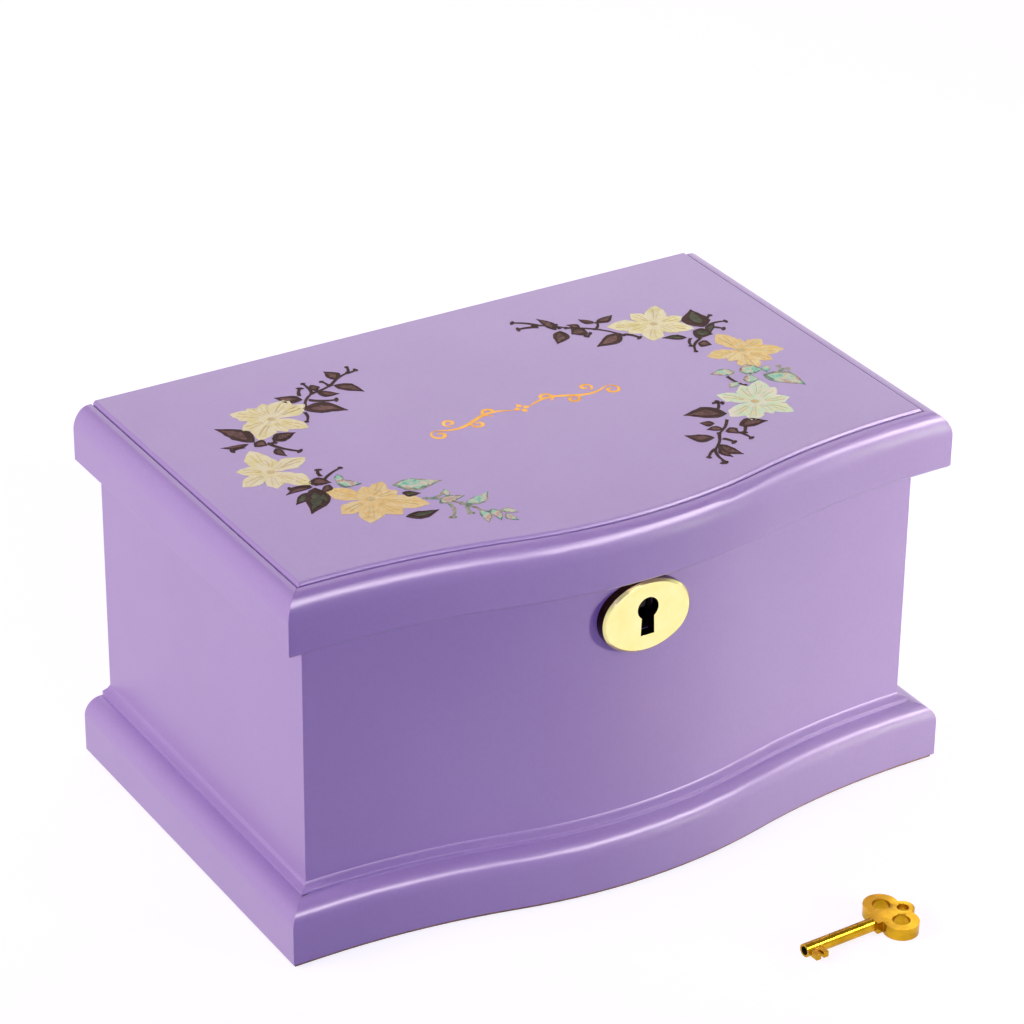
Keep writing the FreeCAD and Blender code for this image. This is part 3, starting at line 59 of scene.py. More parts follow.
# Sockets of a Mix node that mixes colours.
MIX_SHARE = 0
MIX_FIRST = 6
MIX_SECOND = 7
MIX_RESULT = 2


class Finish:
    """Principled material whose colour, roughness and relief come from procedural nodes."""

    def __init__(self, name, **values):
        self.material = bpy.data.materials.new(name)
        self.material.use_nodes = True
        self.tree = self.material.node_tree
        self.shader = self.tree.nodes["Principled BSDF"]
        for socket, value in values.items():
            self.shader.inputs[socket.replace("_", " ")].default_value = value
        self.place = self.tree.nodes.new("ShaderNodeTexCoord").outputs["Object"]
        self.normal = None

    def link(self, output, socket):
        self.tree.links.new(output, socket)

    def mapped(self, stretch):
        mapping = self.tree.nodes.new("ShaderNodeMapping")
        mapping.inputs["Scale"].default_value = stretch
        self.link(self.place, mapping.inputs["Vector"])
        return mapping.outputs["Vector"]

    def noise(self, scale, detail=3.0, stretch=(1, 1, 1), distortion=0.0):
        texture = self.tree.nodes.new("ShaderNodeTexNoise")
        texture.inputs["Scale"].default_value = scale
        texture.inputs["Detail"].default_value = detail
        texture.inputs["Distortion"].default_value = distortion
        self.link(self.mapped(stretch), texture.inputs["Vector"])
        return texture.outputs["Fac"]

    def cells(self, scale):
        texture = self.tree.nodes.new("ShaderNodeTexVoronoi")
        texture.inputs["Scale"].default_value = scale
        self.link(self.place, texture.inputs["Vector"])
        return texture.outputs["Distance"]

    def ramp(self, factor, *stops):
        node = self.tree.nodes.new("ShaderNodeValToRGB")
        elements = node.color_ramp.elements
        while len(elements) < len(stops):
            elements.new(1.0)
        for element, (position, colour) in zip(elements, stops):
            element.position = position
            element.color = (*colour, 1.0)
        self.link(factor, node.inputs["Fac"])
        return node.outputs["Color"]

    def drift(self, factor, dark, pale):
        """Colour that goes with a noise from one tone to another."""
        return self.ramp(factor, (NOISE_LOW, dark), (NOISE_HIGH, pale))

    def mix(self, kind, first, second):
        node = self.tree.nodes.new("ShaderNodeMix")
        node.data_type = "RGBA"
        node.blend_type = kind
        self.link(first, node.inputs[MIX_FIRST])
        self.link(second, node.inputs[MIX_SECOND])
        return node

    def product(self, first, second):
        node = self.mix("MULTIPLY", first, second)
        node.inputs[MIX_SHARE].default_value = 1.0
        return node.outputs[MIX_RESULT]

    def blend(self, first, second, share):
        node = self.mix("MIX", first, second)
        self.link(share, node.inputs[MIX_SHARE])
        return node.outputs[MIX_RESULT]

    def colour(self, output):
        self.link(output, self.shader.inputs["Base Color"])

    def roughness(self, factor, low, high):
        node = self.tree.nodes.new("ShaderNodeMapRange")
        node.inputs["From Min"].default_value = NOISE_LOW
        node.inputs["From Max"].default_value = NOISE_HIGH
        node.inputs["To Min"].default_value = low
        node.inputs["To Max"].default_value = high
        self.link(factor, node.inputs["Value"])
        self.link(node.outputs["Result"], self.shader.inputs["Roughness"])

    def relief(self, height, strength, distance):
        node = self.tree.nodes.new("ShaderNodeBump")
        node.inputs["Strength"].default_value = strength
        node.inputs["Distance"].default_value = distance
        self.link(height, node.inputs["Height"])
        if self.normal is not None:
            self.link(self.normal, node.inputs["Normal"])
        self.normal = node.outputs["Normal"]
        self.link(self.normal, self.shader.inputs["Normal"])


def tinted(name, dark, pale, scale, **values):
    """Finish whose colour drifts between two tones."""
    finish = Finish(name, **values)
    finish.colour(finish.drift(finish.noise(scale, 4), dark, pale))
    return finish


def lacquer():
    finish = Finish("lilac_lacquer", Specular_IOR_Level=0.25, Coat_Weight=0.5, Coat_Roughness=0.28)
    clouds = finish.drift(finish.noise(16, 4), (0.435, 0.297, 0.605), (0.46, 0.318, 0.635))
    specks = finish.drift(finish.noise(900, 2), (0.96, 0.96, 0.97), (1.0, 1.0, 1.0))
    finish.colour(finish.product(clouds, specks))
    finish.roughness(finish.noise(70, 4), 0.33, 0.4)
    finish.relief(finish.noise(1300, 2), 0.04, 0.0002)
    finish.relief(finish.noise(110, 2, (1, 3, 3)), 0.03, 0.0004)
    return finish.material


def gold(name, dark, pale, low, high, scratch):
    finish = tinted(name, dark, pale, 180, Metallic=1.0)
    finish.roughness(finish.noise(240, 4), low, high)
    finish.relief(finish.noise(900, 3, (1, 12, 12)), scratch, 0.0001)
    return finish.material


# Part of a normal along Y at the plate's edge and at its face. Between them the painted shade on the edge
# fades into the bright face.
PLATE_EDGE = -0.25
PLATE_FACE = -0.8


def plate_gold_painted_shade():
    """Bright polished face, with painted shade on the edge of the plate where its normal turns away from the
    front.
    """
    finish = Finish("bright_gilt_painted_shade", Metallic=1.0)
    face = finish.drift(finish.noise(180, 4), (0.97, 0.88, 0.33), (0.99, 0.93, 0.42))
    # The edge's near-black tone is painted shade, not a colour of the gilt.
    edge = finish.drift(finish.noise(260, 4), (0.03, 0.012, 0.006), (0.075, 0.03, 0.01))
    split = finish.tree.nodes.new("ShaderNodeSeparateXYZ")
    finish.link(finish.tree.nodes.new("ShaderNodeTexCoord").outputs["Normal"], split.inputs[0])
    front = finish.tree.nodes.new("ShaderNodeMapRange")
    front.inputs["From Min"].default_value = PLATE_EDGE
    front.inputs["From Max"].default_value = PLATE_FACE
    finish.link(split.outputs["Y"], front.inputs["Value"])
    finish.colour(finish.blend(edge, face, front.outputs["Result"]))
    finish.roughness(finish.noise(240, 4), 0.16, 0.26)
    finish.relief(finish.noise(900, 3, (1, 12, 12)), 0.02, 0.0001)
    return finish.material


def velvet():
    finish = Finish("velvet_lining", Roughness=0.92, Sheen_Weight=0.85, Sheen_Roughness=0.35)
    finish.shader.inputs["Sheen Tint"].default_value = (0.95, 0.86, 1.0, 1.0)
    nap = finish.drift(finish.noise(45, 5), (0.30, 0.16, 0.42), (0.42, 0.25, 0.54))
    pile = finish.drift(finish.noise(2600, 2), (0.72, 0.72, 0.72), (1.0, 1.0, 1.0))
    finish.colour(finish.product(nap, pile))
    finish.relief(finish.noise(2600, 2), 0.5, 0.0004)
    finish.relief(finish.noise(60, 3), 0.2, 0.001)
    return finish.material


def wood():
    finish = Finish("plain_wood", Roughness=0.65)
    fibres = finish.noise(14, 5, (1, 16, 16), 0.4)
    grain = finish.drift(fibres, (0.4, 0.25, 0.14), (0.56, 0.39, 0.24))
    pores = finish.ramp(finish.noise(260, 3, (1, 18, 18)), (0.35, (0.8, 0.77, 0.74)), (0.6, (1, 1, 1)))
    finish.colour(finish.product(grain, pores))
    finish.relief(finish.noise(500, 3, (1, 18, 18)), 0.2, 0.0003)
    return finish.material


def felt():
    dark, pale = (0.19, 0.085, 0.035), (0.34, 0.16, 0.07)
    finish = tinted("brown_felt", dark, pale, 500, Roughness=0.95, Sheen_Weight=0.4)
    finish.relief(finish.noise(1800, 3), 0.6, 0.0005)
    return finish.material


def mirror():
    finish = tinted("mirror_glass", (0.86, 0.88, 0.9), (0.93, 0.94, 0.95), 30, Metallic=1.0)
    finish.roughness(finish.noise(90, 4), 0.01, 0.05)
    return finish.material


def metal(name, dark, pale, low, high, stretch):
    finish = tinted(name, dark, pale, 120, Metallic=1.0)
    finish.roughness(finish.noise(600, 3, stretch), low, high)
    finish.relief(finish.noise(800, 3, stretch), 0.12, 0.0001)
    return finish.material


def casting():
    finish = tinted("bed_casting", (0.36, 0.36, 0.37), (0.5, 0.5, 0.51), 300, Metallic=0.7)
    finish.roughness(finish.noise(300, 3), 0.42, 0.6)
    finish.relief(finish.noise(1200, 3), 0.3, 0.0003)
    return finish.material


def painted(name, dark, pale, roughness):
    finish = tinted(name, dark, pale, 220, Coat_Weight=0.25)
    finish.roughness(finish.noise(500, 3), roughness - 0.06, roughness + 0.06)
    finish.relief(finish.noise(1600, 2), 0.08, 0.0001)
    return finish.material


def net():
    finish = tinted("tutu_net", (0.8, 0.66, 0.78), (0.95, 0.87, 0.94), 160, Roughness=0.7, Sheen_Weight=0.6)
    finish.relief(finish.cells(1500), 0.5, 0.0002)
    return finish.material


def shell(name, stops, lines, gloss=0.25):
    """Inlaid shell of drifting colours, with fine growth lines darkened to a given level."""
    finish = Finish(name, Specular_IOR_Level=gloss)
    drift = finish.ramp(finish.noise(230, 4, (1, 1, 0.2), 1.2), *stops)
    growth = finish.noise(1100, 3, (1, 3, 0.2))
    streaks = finish.ramp(growth, (0.35, (lines, lines, lines)), (0.55, (1, 1, 1)))
    finish.colour(finish.product(drift, streaks))
    finish.roughness(finish.noise(400, 3), 0.3, 0.45)
    return finish.material


LACQUER = lacquer()
GILT = gold("polished_gilt", (0.86, 0.52, 0.08), (0.96, 0.64, 0.14), 0.14, 0.24, 0.03)
# The key's gilt is darker than the plate's to paint in the dark reflection of its surroundings; its scratches
# are relief.
KEY_GILT_PAINTED_REFLECTION = gold("scratched_gilt_painted_dark_reflection", (0.42, 0.22, 0.005), (0.7, 0.4, 0.02), 0.12, 0.24, 0.05)
PLATE_GILT_PAINTED_SHADE = plate_gold_painted_shade()
FOIL = gold("gold_foil", (0.72, 0.36, 0.06), (0.9, 0.52, 0.12), 0.42, 0.55, 0.2)
VELVET = velvet()
WOOD = wood()
FELT = felt()
MIRROR = mirror()
STEEL = metal("brushed_steel", (0.5, 0.51, 0.53), (0.66, 0.67, 0.69), 0.25, 0.42, (1, 10, 10))
BRASS = metal("turned_brass", (0.72, 0.5, 0.2), (0.86, 0.64, 0.3), 0.22, 0.36, (10, 1, 1))
# Near-black for pieces of painted shade inside hollows.
SHADE = tinted("hollow_shade", (0.006, 0.004, 0.003), (0.014, 0.009, 0.007), 300, Roughness=0.9).material
DARK_STEEL = metal("blued_steel", (0.02, 0.018, 0.018), (0.045, 0.04, 0.04), 0.4, 0.6, (1, 10, 10))
CASTING = casting()
SKIN = painted("doll_skin", (0.83, 0.56, 0.45), (0.9, 0.66, 0.55), 0.4)
BODICE = painted("bodice_paint", (0.5, 0.3, 0.62), (0.62, 0.42, 0.74), 0.35)
SLIPPER = painted("slipper_paint", (0.86, 0.5, 0.58), (0.93, 0.62, 0.68), 0.35)
HAIR = painted("hair_paint", (0.09, 0.04, 0.02), (0.16, 0.08, 0.04), 0.4)
LIP = painted("lip_paint", (0.55, 0.16, 0.16), (0.64, 0.22, 0.2), 0.4)
BASE_PLASTIC = painted("base_plastic", (0.84, 0.8, 0.84), (0.92, 0.89, 0.92), 0.3)
NET = net()
PETAL_LINES = shell("petal_lines", ((0.3, (0.72, 0.58, 0.22)), (0.7, (0.84, 0.7, 0.34))), 0.9)
DARK_SHELL = shell("dark_shell", ((0.3, (0.04, 0.011, 0.01)), (0.7, (0.085, 0.028, 0.024))), 0.6, 0.05)
BROWN_SHELL = shell("brown_shell", ((0.3, (0.1, 0.04, 0.034)), (0.7, (0.26, 0.13, 0.11))), 0.5, 0.05)
OLIVE_SHELL = shell("olive_shell", ((0.3, (0.045, 0.045, 0.024)), (0.7, (0.12, 0.13, 0.07))), 0.6, 0.05)

SLOT_FINISH = {
    "lilac_lacquer": LACQUER,
    "gilt_brass": GILT,
    "plain_wood": WOOD,
    "felt": FELT,
    "velvet": VELVET,
    "mirror_glass": MIRROR,
    "steel": STEEL,
    "movement_brass": BRASS,
    "bed_casting": CASTING,
    "dancer_plastic": SKIN,
    "tutu_net": NET,
}
SLOT_BEVEL = {"lilac_lacquer": 0.2, "gilt_brass": 0.2, "velvet": 0.35, "mirror_glass": 0.4}
NODE_BEVEL = {"escutcheon": 0.35, "lock_key": 0.45, "stage_top": 0.8, "dividers": 0.8, "base_felt": 0.0}
NODE_FINISH = {
    "escutcheon": PLATE_GILT_PAINTED_SHADE,
    "lock_key": KEY_GILT_PAINTED_REFLECTION,
    "lock_plate": DARK_STEEL,
    "lock_body": DARK_STEEL,
    "lock_bolt": DARK_STEEL,
}
BEVEL_SEGMENTS = 3
FLATTEST = math.radians(32)
SHARPEST = math.radians(110)
WELD_REACH = 1e-6
PLACE_DIGITS = 6


def mark_edges(mesh):
    """Weights the edges to be rounded: those at a clear angle, but not the knife edge of a mitre."""
    normals = {}
    keys = [tuple(round(x, PLACE_DIGITS) for x in vert.co) for vert in mesh.vertices]
    for face in mesh.polygons:
        for pair in face.edge_keys:
            key = frozenset(keys[index] for index in pair)
            normals.setdefault(key, []).append(face.normal)
    weights = mesh.attributes.new("bevel_weight_edge", "FLOAT", "EDGE")
    for edge in mesh.edges:
        sides = normals[frozenset(keys[index] for index in edge.vertices)]
        bend = sides[0].angle(sides[1], 0.0) if len(sides) == 2 else math.pi
        weights.data[edge.index].value = 1.0 if FLATTEST < bend < SHARPEST else 0.0


def dress_nodes():
    """Gives each CAD node its finish, and a small round on its edges where its slot or name has one."""
    for part in frame["record"]["subparts"]:
        name, slot = part["node"], part["material_slot"]
        node = nodes[name]
        node.data.materials.clear()
        node.data.materials.append(NODE_FINISH.get(name, SLOT_FINISH[slot]))
        width = NODE_BEVEL.get(name, SLOT_BEVEL.get(slot, 0.0))
        if width:
            mark_edges(node.data)
            node.data.polygons.foreach_set("use_smooth", [True] * len(node.data.polygons))
            weld = node.modifiers.new("weld", "WELD")
            weld.merge_threshold = WELD_REACH
            bevel = node.modifiers.new("edges", "BEVEL")
            bevel.width = width * MM
            bevel.segments = BEVEL_SEGMENTS
            bevel.limit_method = "WEIGHT"
            bevel.loop_slide = False
            split = node.modifiers.new("mitres", "EDGE_SPLIT")
            split.split_angle = SHARPEST
            split.use_edge_sharp = False
            node.modifiers.new("shading", "WEIGHTED_NORMAL")


def piece_from(name, verts, faces, material, body, smooth=True):
    mesh = bpy.data.meshes.new(name)
    mesh.from_pydata([Vector(v) * MM for v in verts], [], faces)
    mesh.polygons.foreach_set("use_smooth", [smooth] * len(mesh.polygons))
    mesh.update()
    mesh.materials.append(material)
    piece = bpy.data.objects.new(name, mesh)
    scene.collection.objects.link(piece)
    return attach(piece, body)


def subdivided(piece, levels):
    modifier = piece.modifiers.new("round", "SUBSURF")
    modifier.levels = levels
    modifier.render_levels = levels
    return piece


LID_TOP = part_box("lid_panel")[1].z / MM
PROUD = 0.06
GROOVE = 0.04
LAYER_RISE = 0.008
STRIP_POINTS = 5
BLADE_STEPS = 9
SCROLL_STEPS = 24
TWIG_WIDTH = 2.5
TWIG_LEAST = 1.1
HEART_LAYER = 9
PETAL_SHARE = 0.42
PETAL_LEAST = 1.3
PETAL_ROUGHNESS = 0.16
LINE_START = 0.3
LINE_END = 0.82
LINE_SHIFTS = (-0.9, 0.9)
LINE_WIDTH = 0.16
BUD_COUNT = 9
BUD_REACH = 1.3
BUD_WIDTH = 0.6
TWIG_SHARE = 0.6
TWIG_BUD_SHARE = 1.15
TWIG_BUD_START = 0.8
TWIG_BUD_END = 0.5
HEART_ROUGHNESS = 0.25


def shares(steps):
    """Even shares from 0 to 1."""
    return [step / steps for step in range(steps + 1)]


# Width of a blade from its start at 0 to its end at 1, as a share of its full width.
def leaf_form(t):
    return max(0.03, math.sin(math.pi * t**0.75) ** 1.15)


def petal_form(t):
    return max(0.05, math.sin(math.pi * (0.08 + 0.92 * t) ** 1.45) ** 0.95)


def twig_form(t):
    return 1.0 - 0.35 * t


def bud_form(t):
    return max(0.2, math.sin(math.pi * t) ** 0.5)


def stroke_form(t):
    return 0.35 + 0.65 * math.sin(math.pi * t) ** 0.8


class Inlay:
    """Thin pieces let into the top of the lid as one mesh, with a second one for their hearts and lines."""

    def __init__(self, with_hearts=True):
        self.verts = []
        self.faces = []
        self.hearts = Inlay(False) if with_hearts else None

    def strip(self, stations):
        """Band across stations of left, middle and right, with its sides turned down into the lid."""
        first = len(self.verts)
        for left, middle, right, level in stations:
            self.verts += [
                (left.x, left.y, LID_TOP - PROUD),
                (left.x, left.y, level),
                (middle.x, middle.y, level - GROOVE),
                (right.x, right.y, level),
                (right.x, right.y, LID_TOP - PROUD),
            ]
        for row in range(len(stations) - 1):
            for column in range(STRIP_POINTS - 1):
                a = first + STRIP_POINTS * row + column
                self.faces.append((a, a + 1, a + STRIP_POINTS + 1, a + STRIP_POINTS))

    def blade(self, start, end, width, form, layer=0, bend=0.0, rough=0.08):
        start, end = Vector(start), Vector(end)
        along = end - start
        across = Vector((-along.y, along.x)).normalized()
        level = LID_TOP + PROUD + LAYER_RISE * layer
        stations = []
        for t in shares(BLADE_STEPS):
            middle = start + along * t + across * bend * math.sin(math.pi * t)
            left = across * (width / 2 * form(t) * chance.uniform(1 - rough, 1 + rough))
            right = across * (width / 2 * form(t) * chance.uniform(1 - rough, 1 + rough))
            stations.append((middle + left, middle, middle - right, level))
        self.strip(stations)

    def leaves(self, *rows, heart=0.45):
        """Leaves with a paler heart, and twigs that end in a bud, given as start, end and width."""
        for layer, (x0, y0, x1, y1, width) in enumerate(rows):
            start, end = Vector((x0, y0)), Vector((x1, y1))
            length = (end - start).length
            bend = chance.choice((-1, 1)) * chance.uniform(0.05, 0.12) * length
            if width < TWIG_WIDTH:
                self.blade(start, end, max(TWIG_LEAST, TWIG_SHARE * width), twig_form, layer % 3, bend)
                tip = (end - start).normalized()
                first, last = end - tip * TWIG_BUD_START, end + tip * TWIG_BUD_END
                self.blade(first, last, TWIG_BUD_SHARE * width, bud_form, layer % 3 + 1)
                continue
            self.blade(start, end, width, leaf_form, layer % 5, bend)
            inset = (end - start) * (0.32 - 0.3 * heart)
            first, last = start + inset, end - 0.7 * inset
            self.hearts.blade(
                first, last, heart * width, leaf_form, HEART_LAYER, 0.8 * bend, HEART_ROUGHNESS
            )

    def flower(self, centre, *tips):
        """Pointed petals in rising layers with fine lines along them, and a ring of buds in the heart."""
        centre = Vector(centre)
        for layer, tip in enumerate(tips):
            way = Vector(tip) - centre
            bend = chance.uniform(-0.5, 0.5)
            width = PETAL_SHARE * way.length + PETAL_LEAST
            self.blade(centre, tip, width, petal_form, layer, bend, PETAL_ROUGHNESS)
            across = Vector((-way.y, way.x)).normalized()
            for shift in LINE_SHIFTS:
                start = centre + way * LINE_START + across * 0.4 * shift
                end = centre + way * LINE_END + across * shift
                self.hearts.blade(start, end, LINE_WIDTH, twig_form, len(tips) + 2, bend)
        for number in range(BUD_COUNT):
            angle = 2 * math.pi * number / BUD_COUNT
            bud = centre + BUD_REACH * Vector((math.cos(angle), math.sin(angle)))
            self.hearts.blade(centre, bud, BUD_WIDTH, bud_form, len(tips) + 3)

    def ribbon(self, points, width):
        stations = []
        for number, point in enumerate(points):
            before, after = points[max(0, number - 1)], points[min(len(points) - 1, number + 1)]
            way = (after - before).normalized()
            across = Vector((-way.y, way.x))
            t = number / (len(points) - 1)
            half = width / 2 * stroke_form(t)
            stations.append((point + across * half, point, point - across * half, LID_TOP + PROUD))
        self.strip(stations)

    def place(self, name, material, heart_material=None):
        piece_from(name, self.verts, self.faces, material, "lid", smooth=False)
        if heart_material:
            self.hearts.place(name + "_lines", heart_material)


# Places on the lid were picked in the photo and turned into millimetres through its camera.
def cream_flowers():
    inlay = Inlay()
    inlay.flower(
        (-63.5, 35.8), (-72.3, 44.6), (-50.7, 39.4), (-72.5, 25.8), (-56.9, 25.9), (-61.3, 45.6),
        (-53.5, 44.4), (-74.0, 33.6), (-63.1, 26.6), (-66.6, 45.1),
    )
    inlay.flower(
        (-78.8, 7.2), (-78.2, 21.3), (-66.5, 10.2), (-72.7, -4.9), (-87.2, 12.1), (-89.8, 3.4),
        (-81.9, -2.3), (-75.7, 15.5), (-71.8, 10.4), (-75.7, -1.7),
    )
    inlay.flower(
        (65.8, 33.6), (52.5, 38.9), (74.6, 25.0), (73.2, 43.9), (63.4, 43.0), (76.0, 33.7),
        (59.5, 24.0), (55.8, 32.1), (69.3, 25.2),
    )
    stops = (
        (0.3, (0.84, 0.77, 0.28)), (0.45, (0.92, 0.84, 0.4)),
        (0.6, (0.96, 0.9, 0.58)), (0.75, (0.86, 0.83, 0.34)),
    )
    inlay.place("inlay_flowers_cream", shell("cream_shell", stops, 0.92), PETAL_LINES)


def amber_flowers():
    inlay = Inlay()
    inlay.flower(
        (-62.5, -20.6), (-70.9, -9.4), (-49.8, -31.1), (-54.8, -13.3), (-69.3, -32.6), (-73.6, -24.2),
        (-59.2, -32.6), (-65.7, -14.6), (-53.7, -20.1), (-61.0, -13.1),
    )
    inlay.flower(
        (78.6, 5.6), (78.2, 18.4), (67.5, 7.0), (90.1, 0.0), (74.9, -7.3), (88.0, 8.8), (83.0, -4.3),
        (71.3, 1.2), (82.3, 12.1), (74.4, -2.2),
    )
    stops = (
        (0.3, (0.88, 0.6, 0.17)), (0.48, (0.93, 0.68, 0.23)),
        (0.62, (0.94, 0.77, 0.36)), (0.75, (0.86, 0.62, 0.2)),
    )
    inlay.place("inlay_flowers_amber", shell("amber_shell", stops, 0.92), PETAL_LINES)


def white_flower():
    inlay = Inlay()
    inlay.flower(
        (63.2, -24.5), (55.8, -15.4), (73.5, -27.1), (69.2, -35.4), (71.9, -13.7), (55.8, -34.2),
        (51.5, -28.8), (65.5, -13.8), (73.4, -19.9), (63.4, -33.4),
    )
    stops = (
        (0.3, (0.92, 0.88, 0.5)), (0.45, (0.7, 0.92, 0.58)),
        (0.58, (0.95, 0.9, 0.66)), (0.74, (0.62, 0.88, 0.64)),
    )
    inlay.place("inlay_flower_white", shell("white_shell", stops, 0.92), PETAL_LINES)


def brown_leaves():
    inlay = Inlay()
    inlay.leaves(
        (-37.5, 46.0, -31.7, 37.9, 4.7), (-44.0, 44.3, -38.6, 40.4, 3.7), (-48.4, 41.2, -41.2, 37.3, 2.4),
        (-52.7, 37.1, -41.6, 29.9, 6.8), (-53.1, 35.0, -55.5, 29.3, 1.3), (-34.7, 48.7, -35.9, 55.2, 4.5),
        (-29.9, 51.0, -27.0, 51.5, 1.8), (-39.2, 45.4, -39.6, 49.8, 1.4), (-49.9, 42.3, -56.4, 47.3, 5.0),
        (-49.5, 44.8, -47.0, 49.1, 2.1), (-45.7, 43.7, -44.9, 51.3, 1.4), (-44.8, 47.1, -41.5, 47.0, 4.2),
        (-51.5, 37.0, -45.5, 44.5, 1.3), (-45.5, 44.5, -38.0, 46.5, 1.3), (-38.0, 46.5, -30.0, 51.0, 1.3),
        (-30.0, 51.0, -28.5, 54.5, 1.2),
        (-74.3, 25.6, -80.5, 38.4, 6.7), (-76.4, 25.4, -84.4, 27.1, 2.5), (-78.3, 24.3, -82.5, 23.8, 2.2),
        (-74.8, 25.2, -72.2, 22.0, 4.7), (-69.4, 23.5, -61.4, 25.1, 5.1), (-71.5, 23.3, -65.7, 14.3, 2.3),
        (-71.0, 19.3, -70.3, 13.5, 2.9), (-68.5, 25.2, -69.8, 22.3, 1.8),
        (-72.9, -6.2, -81.8, -6.9, 2.6), (-73.1, -5.3, -79.2, -4.2, 2.1), (-70.3, -6.3, -60.7, -0.1, 1.4),
        (-68.0, -1.9, -66.8, 2.0, 2.1), (-72.7, -3.4, -67.2, -6.6, 4.9), (-68.3, -7.4, -72.7, -10.5, 3.0),
    )
    inlay.leaves(
        (35.1, 50.2, 29.0, 55.6, 2.2), (34.5, 49.2, 28.3, 50.9, 2.4), (38.1, 44.7, 36.9, 54.3, 3.4),
        (33.0, 51.0, 41.5, 44.4, 1.5), (38.8, 43.6, 33.4, 36.5, 5.0), (39.5, 44.7, 39.8, 48.1, 1.5),
        (45.1, 42.3, 42.6, 46.2, 2.8), (45.8, 41.1, 40.6, 40.1, 6.5), (50.7, 43.1, 47.7, 47.7, 2.6),
        (41.5, 44.4, 54.1, 31.6, 1.6), (51.2, 42.8, 58.3, 45.2, 3.6), (46.3, 38.4, 43.6, 36.4, 1.8),
        (53.7, 33.3, 42.6, 29.0, 5.8), (54.3, 32.0, 57.1, 27.7, 2.3), (48.0, 39.0, 51.5, 43.0, 1.4),
        (72.7, 18.4, 66.4, 11.5, 1.3), (70.1, 16.0, 73.1, 13.0, 4.6), (70.1, 19.9, 67.4, 15.2, 1.8),
        (79.8, 24.7, 85.8, 24.4, 2.0), (79.3, 23.3, 82.4, 20.3, 2.2), (81.6, 28.5, 84.0, 30.3, 1.4),
    )
    inlay.leaves(
        (51.8, -26.8, 40.2, -21.5, 7.3), (50.4, -23.7, 53.7, -18.7, 1.4), (51.6, -19.2, 54.5, -20.6, 1.8),
        (49.7, -29.9, 42.8, -36.1, 1.3), (42.8, -36.1, 36.3, -43.8, 1.2), (36.3, -43.8, 34.9, -51.7, 1.2),
        (45.2, -30.2, 41.6, -27.8, 3.3), (45.5, -34.1, 41.0, -32.4, 2.9), (40.2, -37.7, 33.6, -32.2, 4.7),
        (50.6, -34.8, 59.5, -36.5, 5.2), (52.5, -34.5, 49.4, -39.2, 2.1), (47.4, -34.4, 47.5, -38.8, 3.9),
        (47.7, -37.5, 49.4, -43.1, 1.9), (42.0, -39.2, 43.7, -42.8, 2.2), (38.7, -41.6, 41.9, -50.1, 4.5),
        (37.6, -43.8, 38.4, -50.2, 2.6), (36.0, -43.6, 32.1, -47.0, 1.5), (34.7, -50.2, 33.9, -52.0, 2.1),
        (65.2, -6.8, 66.5, -14.4, 1.6),
    )
    inlay.place("inlay_leaves_brown", DARK_SHELL, BROWN_SHELL)


def olive_leaves():
    inlay = Inlay()
    inlay.leaves(
        (-72.7, -7.0, -80.8, -20.0, 7.4), (-72.7, -10.5, -73.6, -16.7, 3.4), (-76.1, -8.5, -82.0, -13.2, 3.4),
        (-59.2, -34.3, -49.2, -35.3, 4.4), (-53.3, -21.8, -48.8, -24.4, 3.4),
        (77.5, 24.4, 81.0, 36.6, 8.4), (73.3, 23.6, 77.4, 18.9, 6.7), (81.6, 25.2, 76.9, 19.2, 2.8),
        (69.3, 20.8, 62.7, 24.2, 3.3),
    )
    inlay.place("inlay_leaves_olive", DARK_SHELL, OLIVE_SHELL)


def green_leaves():
    inlay = Inlay()
    inlay.leaves(
        (-53.3, -16.4, -39.9, -20.8, 6.8), (-63.4, -3.2, -66.3, -8.6, 2.6), (-65.9, -6.7, -60.2, -11.4, 4.4),
        (-43.4, -27.5, -41.5, -28.0, 4.7), (-47.3, -32.0, -39.0, -31.7, 3.8),
        (-41.5, -36.3, -32.1, -33.0, 4.1), (-34.1, -34.3, -36.0, -38.1, 2.6),
        (-49.9, -27.3, -42.0, -35.3, 1.7), (-42.0, -35.3, -38.6, -44.2, 1.6),
        (-44.9, -33.6, -48.3, -41.1, 2.2), (-41.2, -36.5, -42.7, -41.6, 2.2),
        (-39.4, -41.0, -41.1, -48.5, 3.2), (-36.6, -41.9, -37.5, -49.2, 3.0),
        (-34.3, -43.7, -31.1, -47.5, 2.6), (-34.7, -46.5, -33.3, -51.4, 2.6),
        (-48.2, -28.9, -43.4, -27.5, 1.5), (-39.0, -43.0, -33.5, -45.5, 1.4),
        (75.2, -11.0, 82.3, -22.7, 7.9), (68.8, -5.8, 61.8, -3.3, 4.4), (70.2, -5.8, 77.1, -8.3, 6.5),
        (79.6, -6.7, 77.0, -10.5, 2.8), (80.0, -12.3, 82.3, -8.5, 1.5), (81.3, -11.0, 83.9, -11.6, 2.0),
        (68.2, -10.8, 72.3, -13.2, 5.3), (64.1, -13.7, 63.2, -10.9, 4.4), heart=0.75,
    )
    stops = (
        (0.3, (0.14, 0.55, 0.38)), (0.45, (0.4, 0.74, 0.5)), (0.55, (0.76, 0.74, 0.5)),
        (0.63, (0.6, 0.42, 0.3)), (0.7, (0.7, 0.55, 0.46)), (0.8, (0.12, 0.5, 0.4)),
    )
    edge = (
        (0.3, (0.1, 0.05, 0.03)), (0.45, (0.16, 0.3, 0.2)),
        (0.55, (0.5, 0.46, 0.3)), (0.7, (0.16, 0.08, 0.05)),
    )
    edges, hearts = shell("green_edge_shell", edge, 0.7), shell("green_shell", stops, 0.8)
    inlay.place("inlay_leaves_green", edges, hearts)


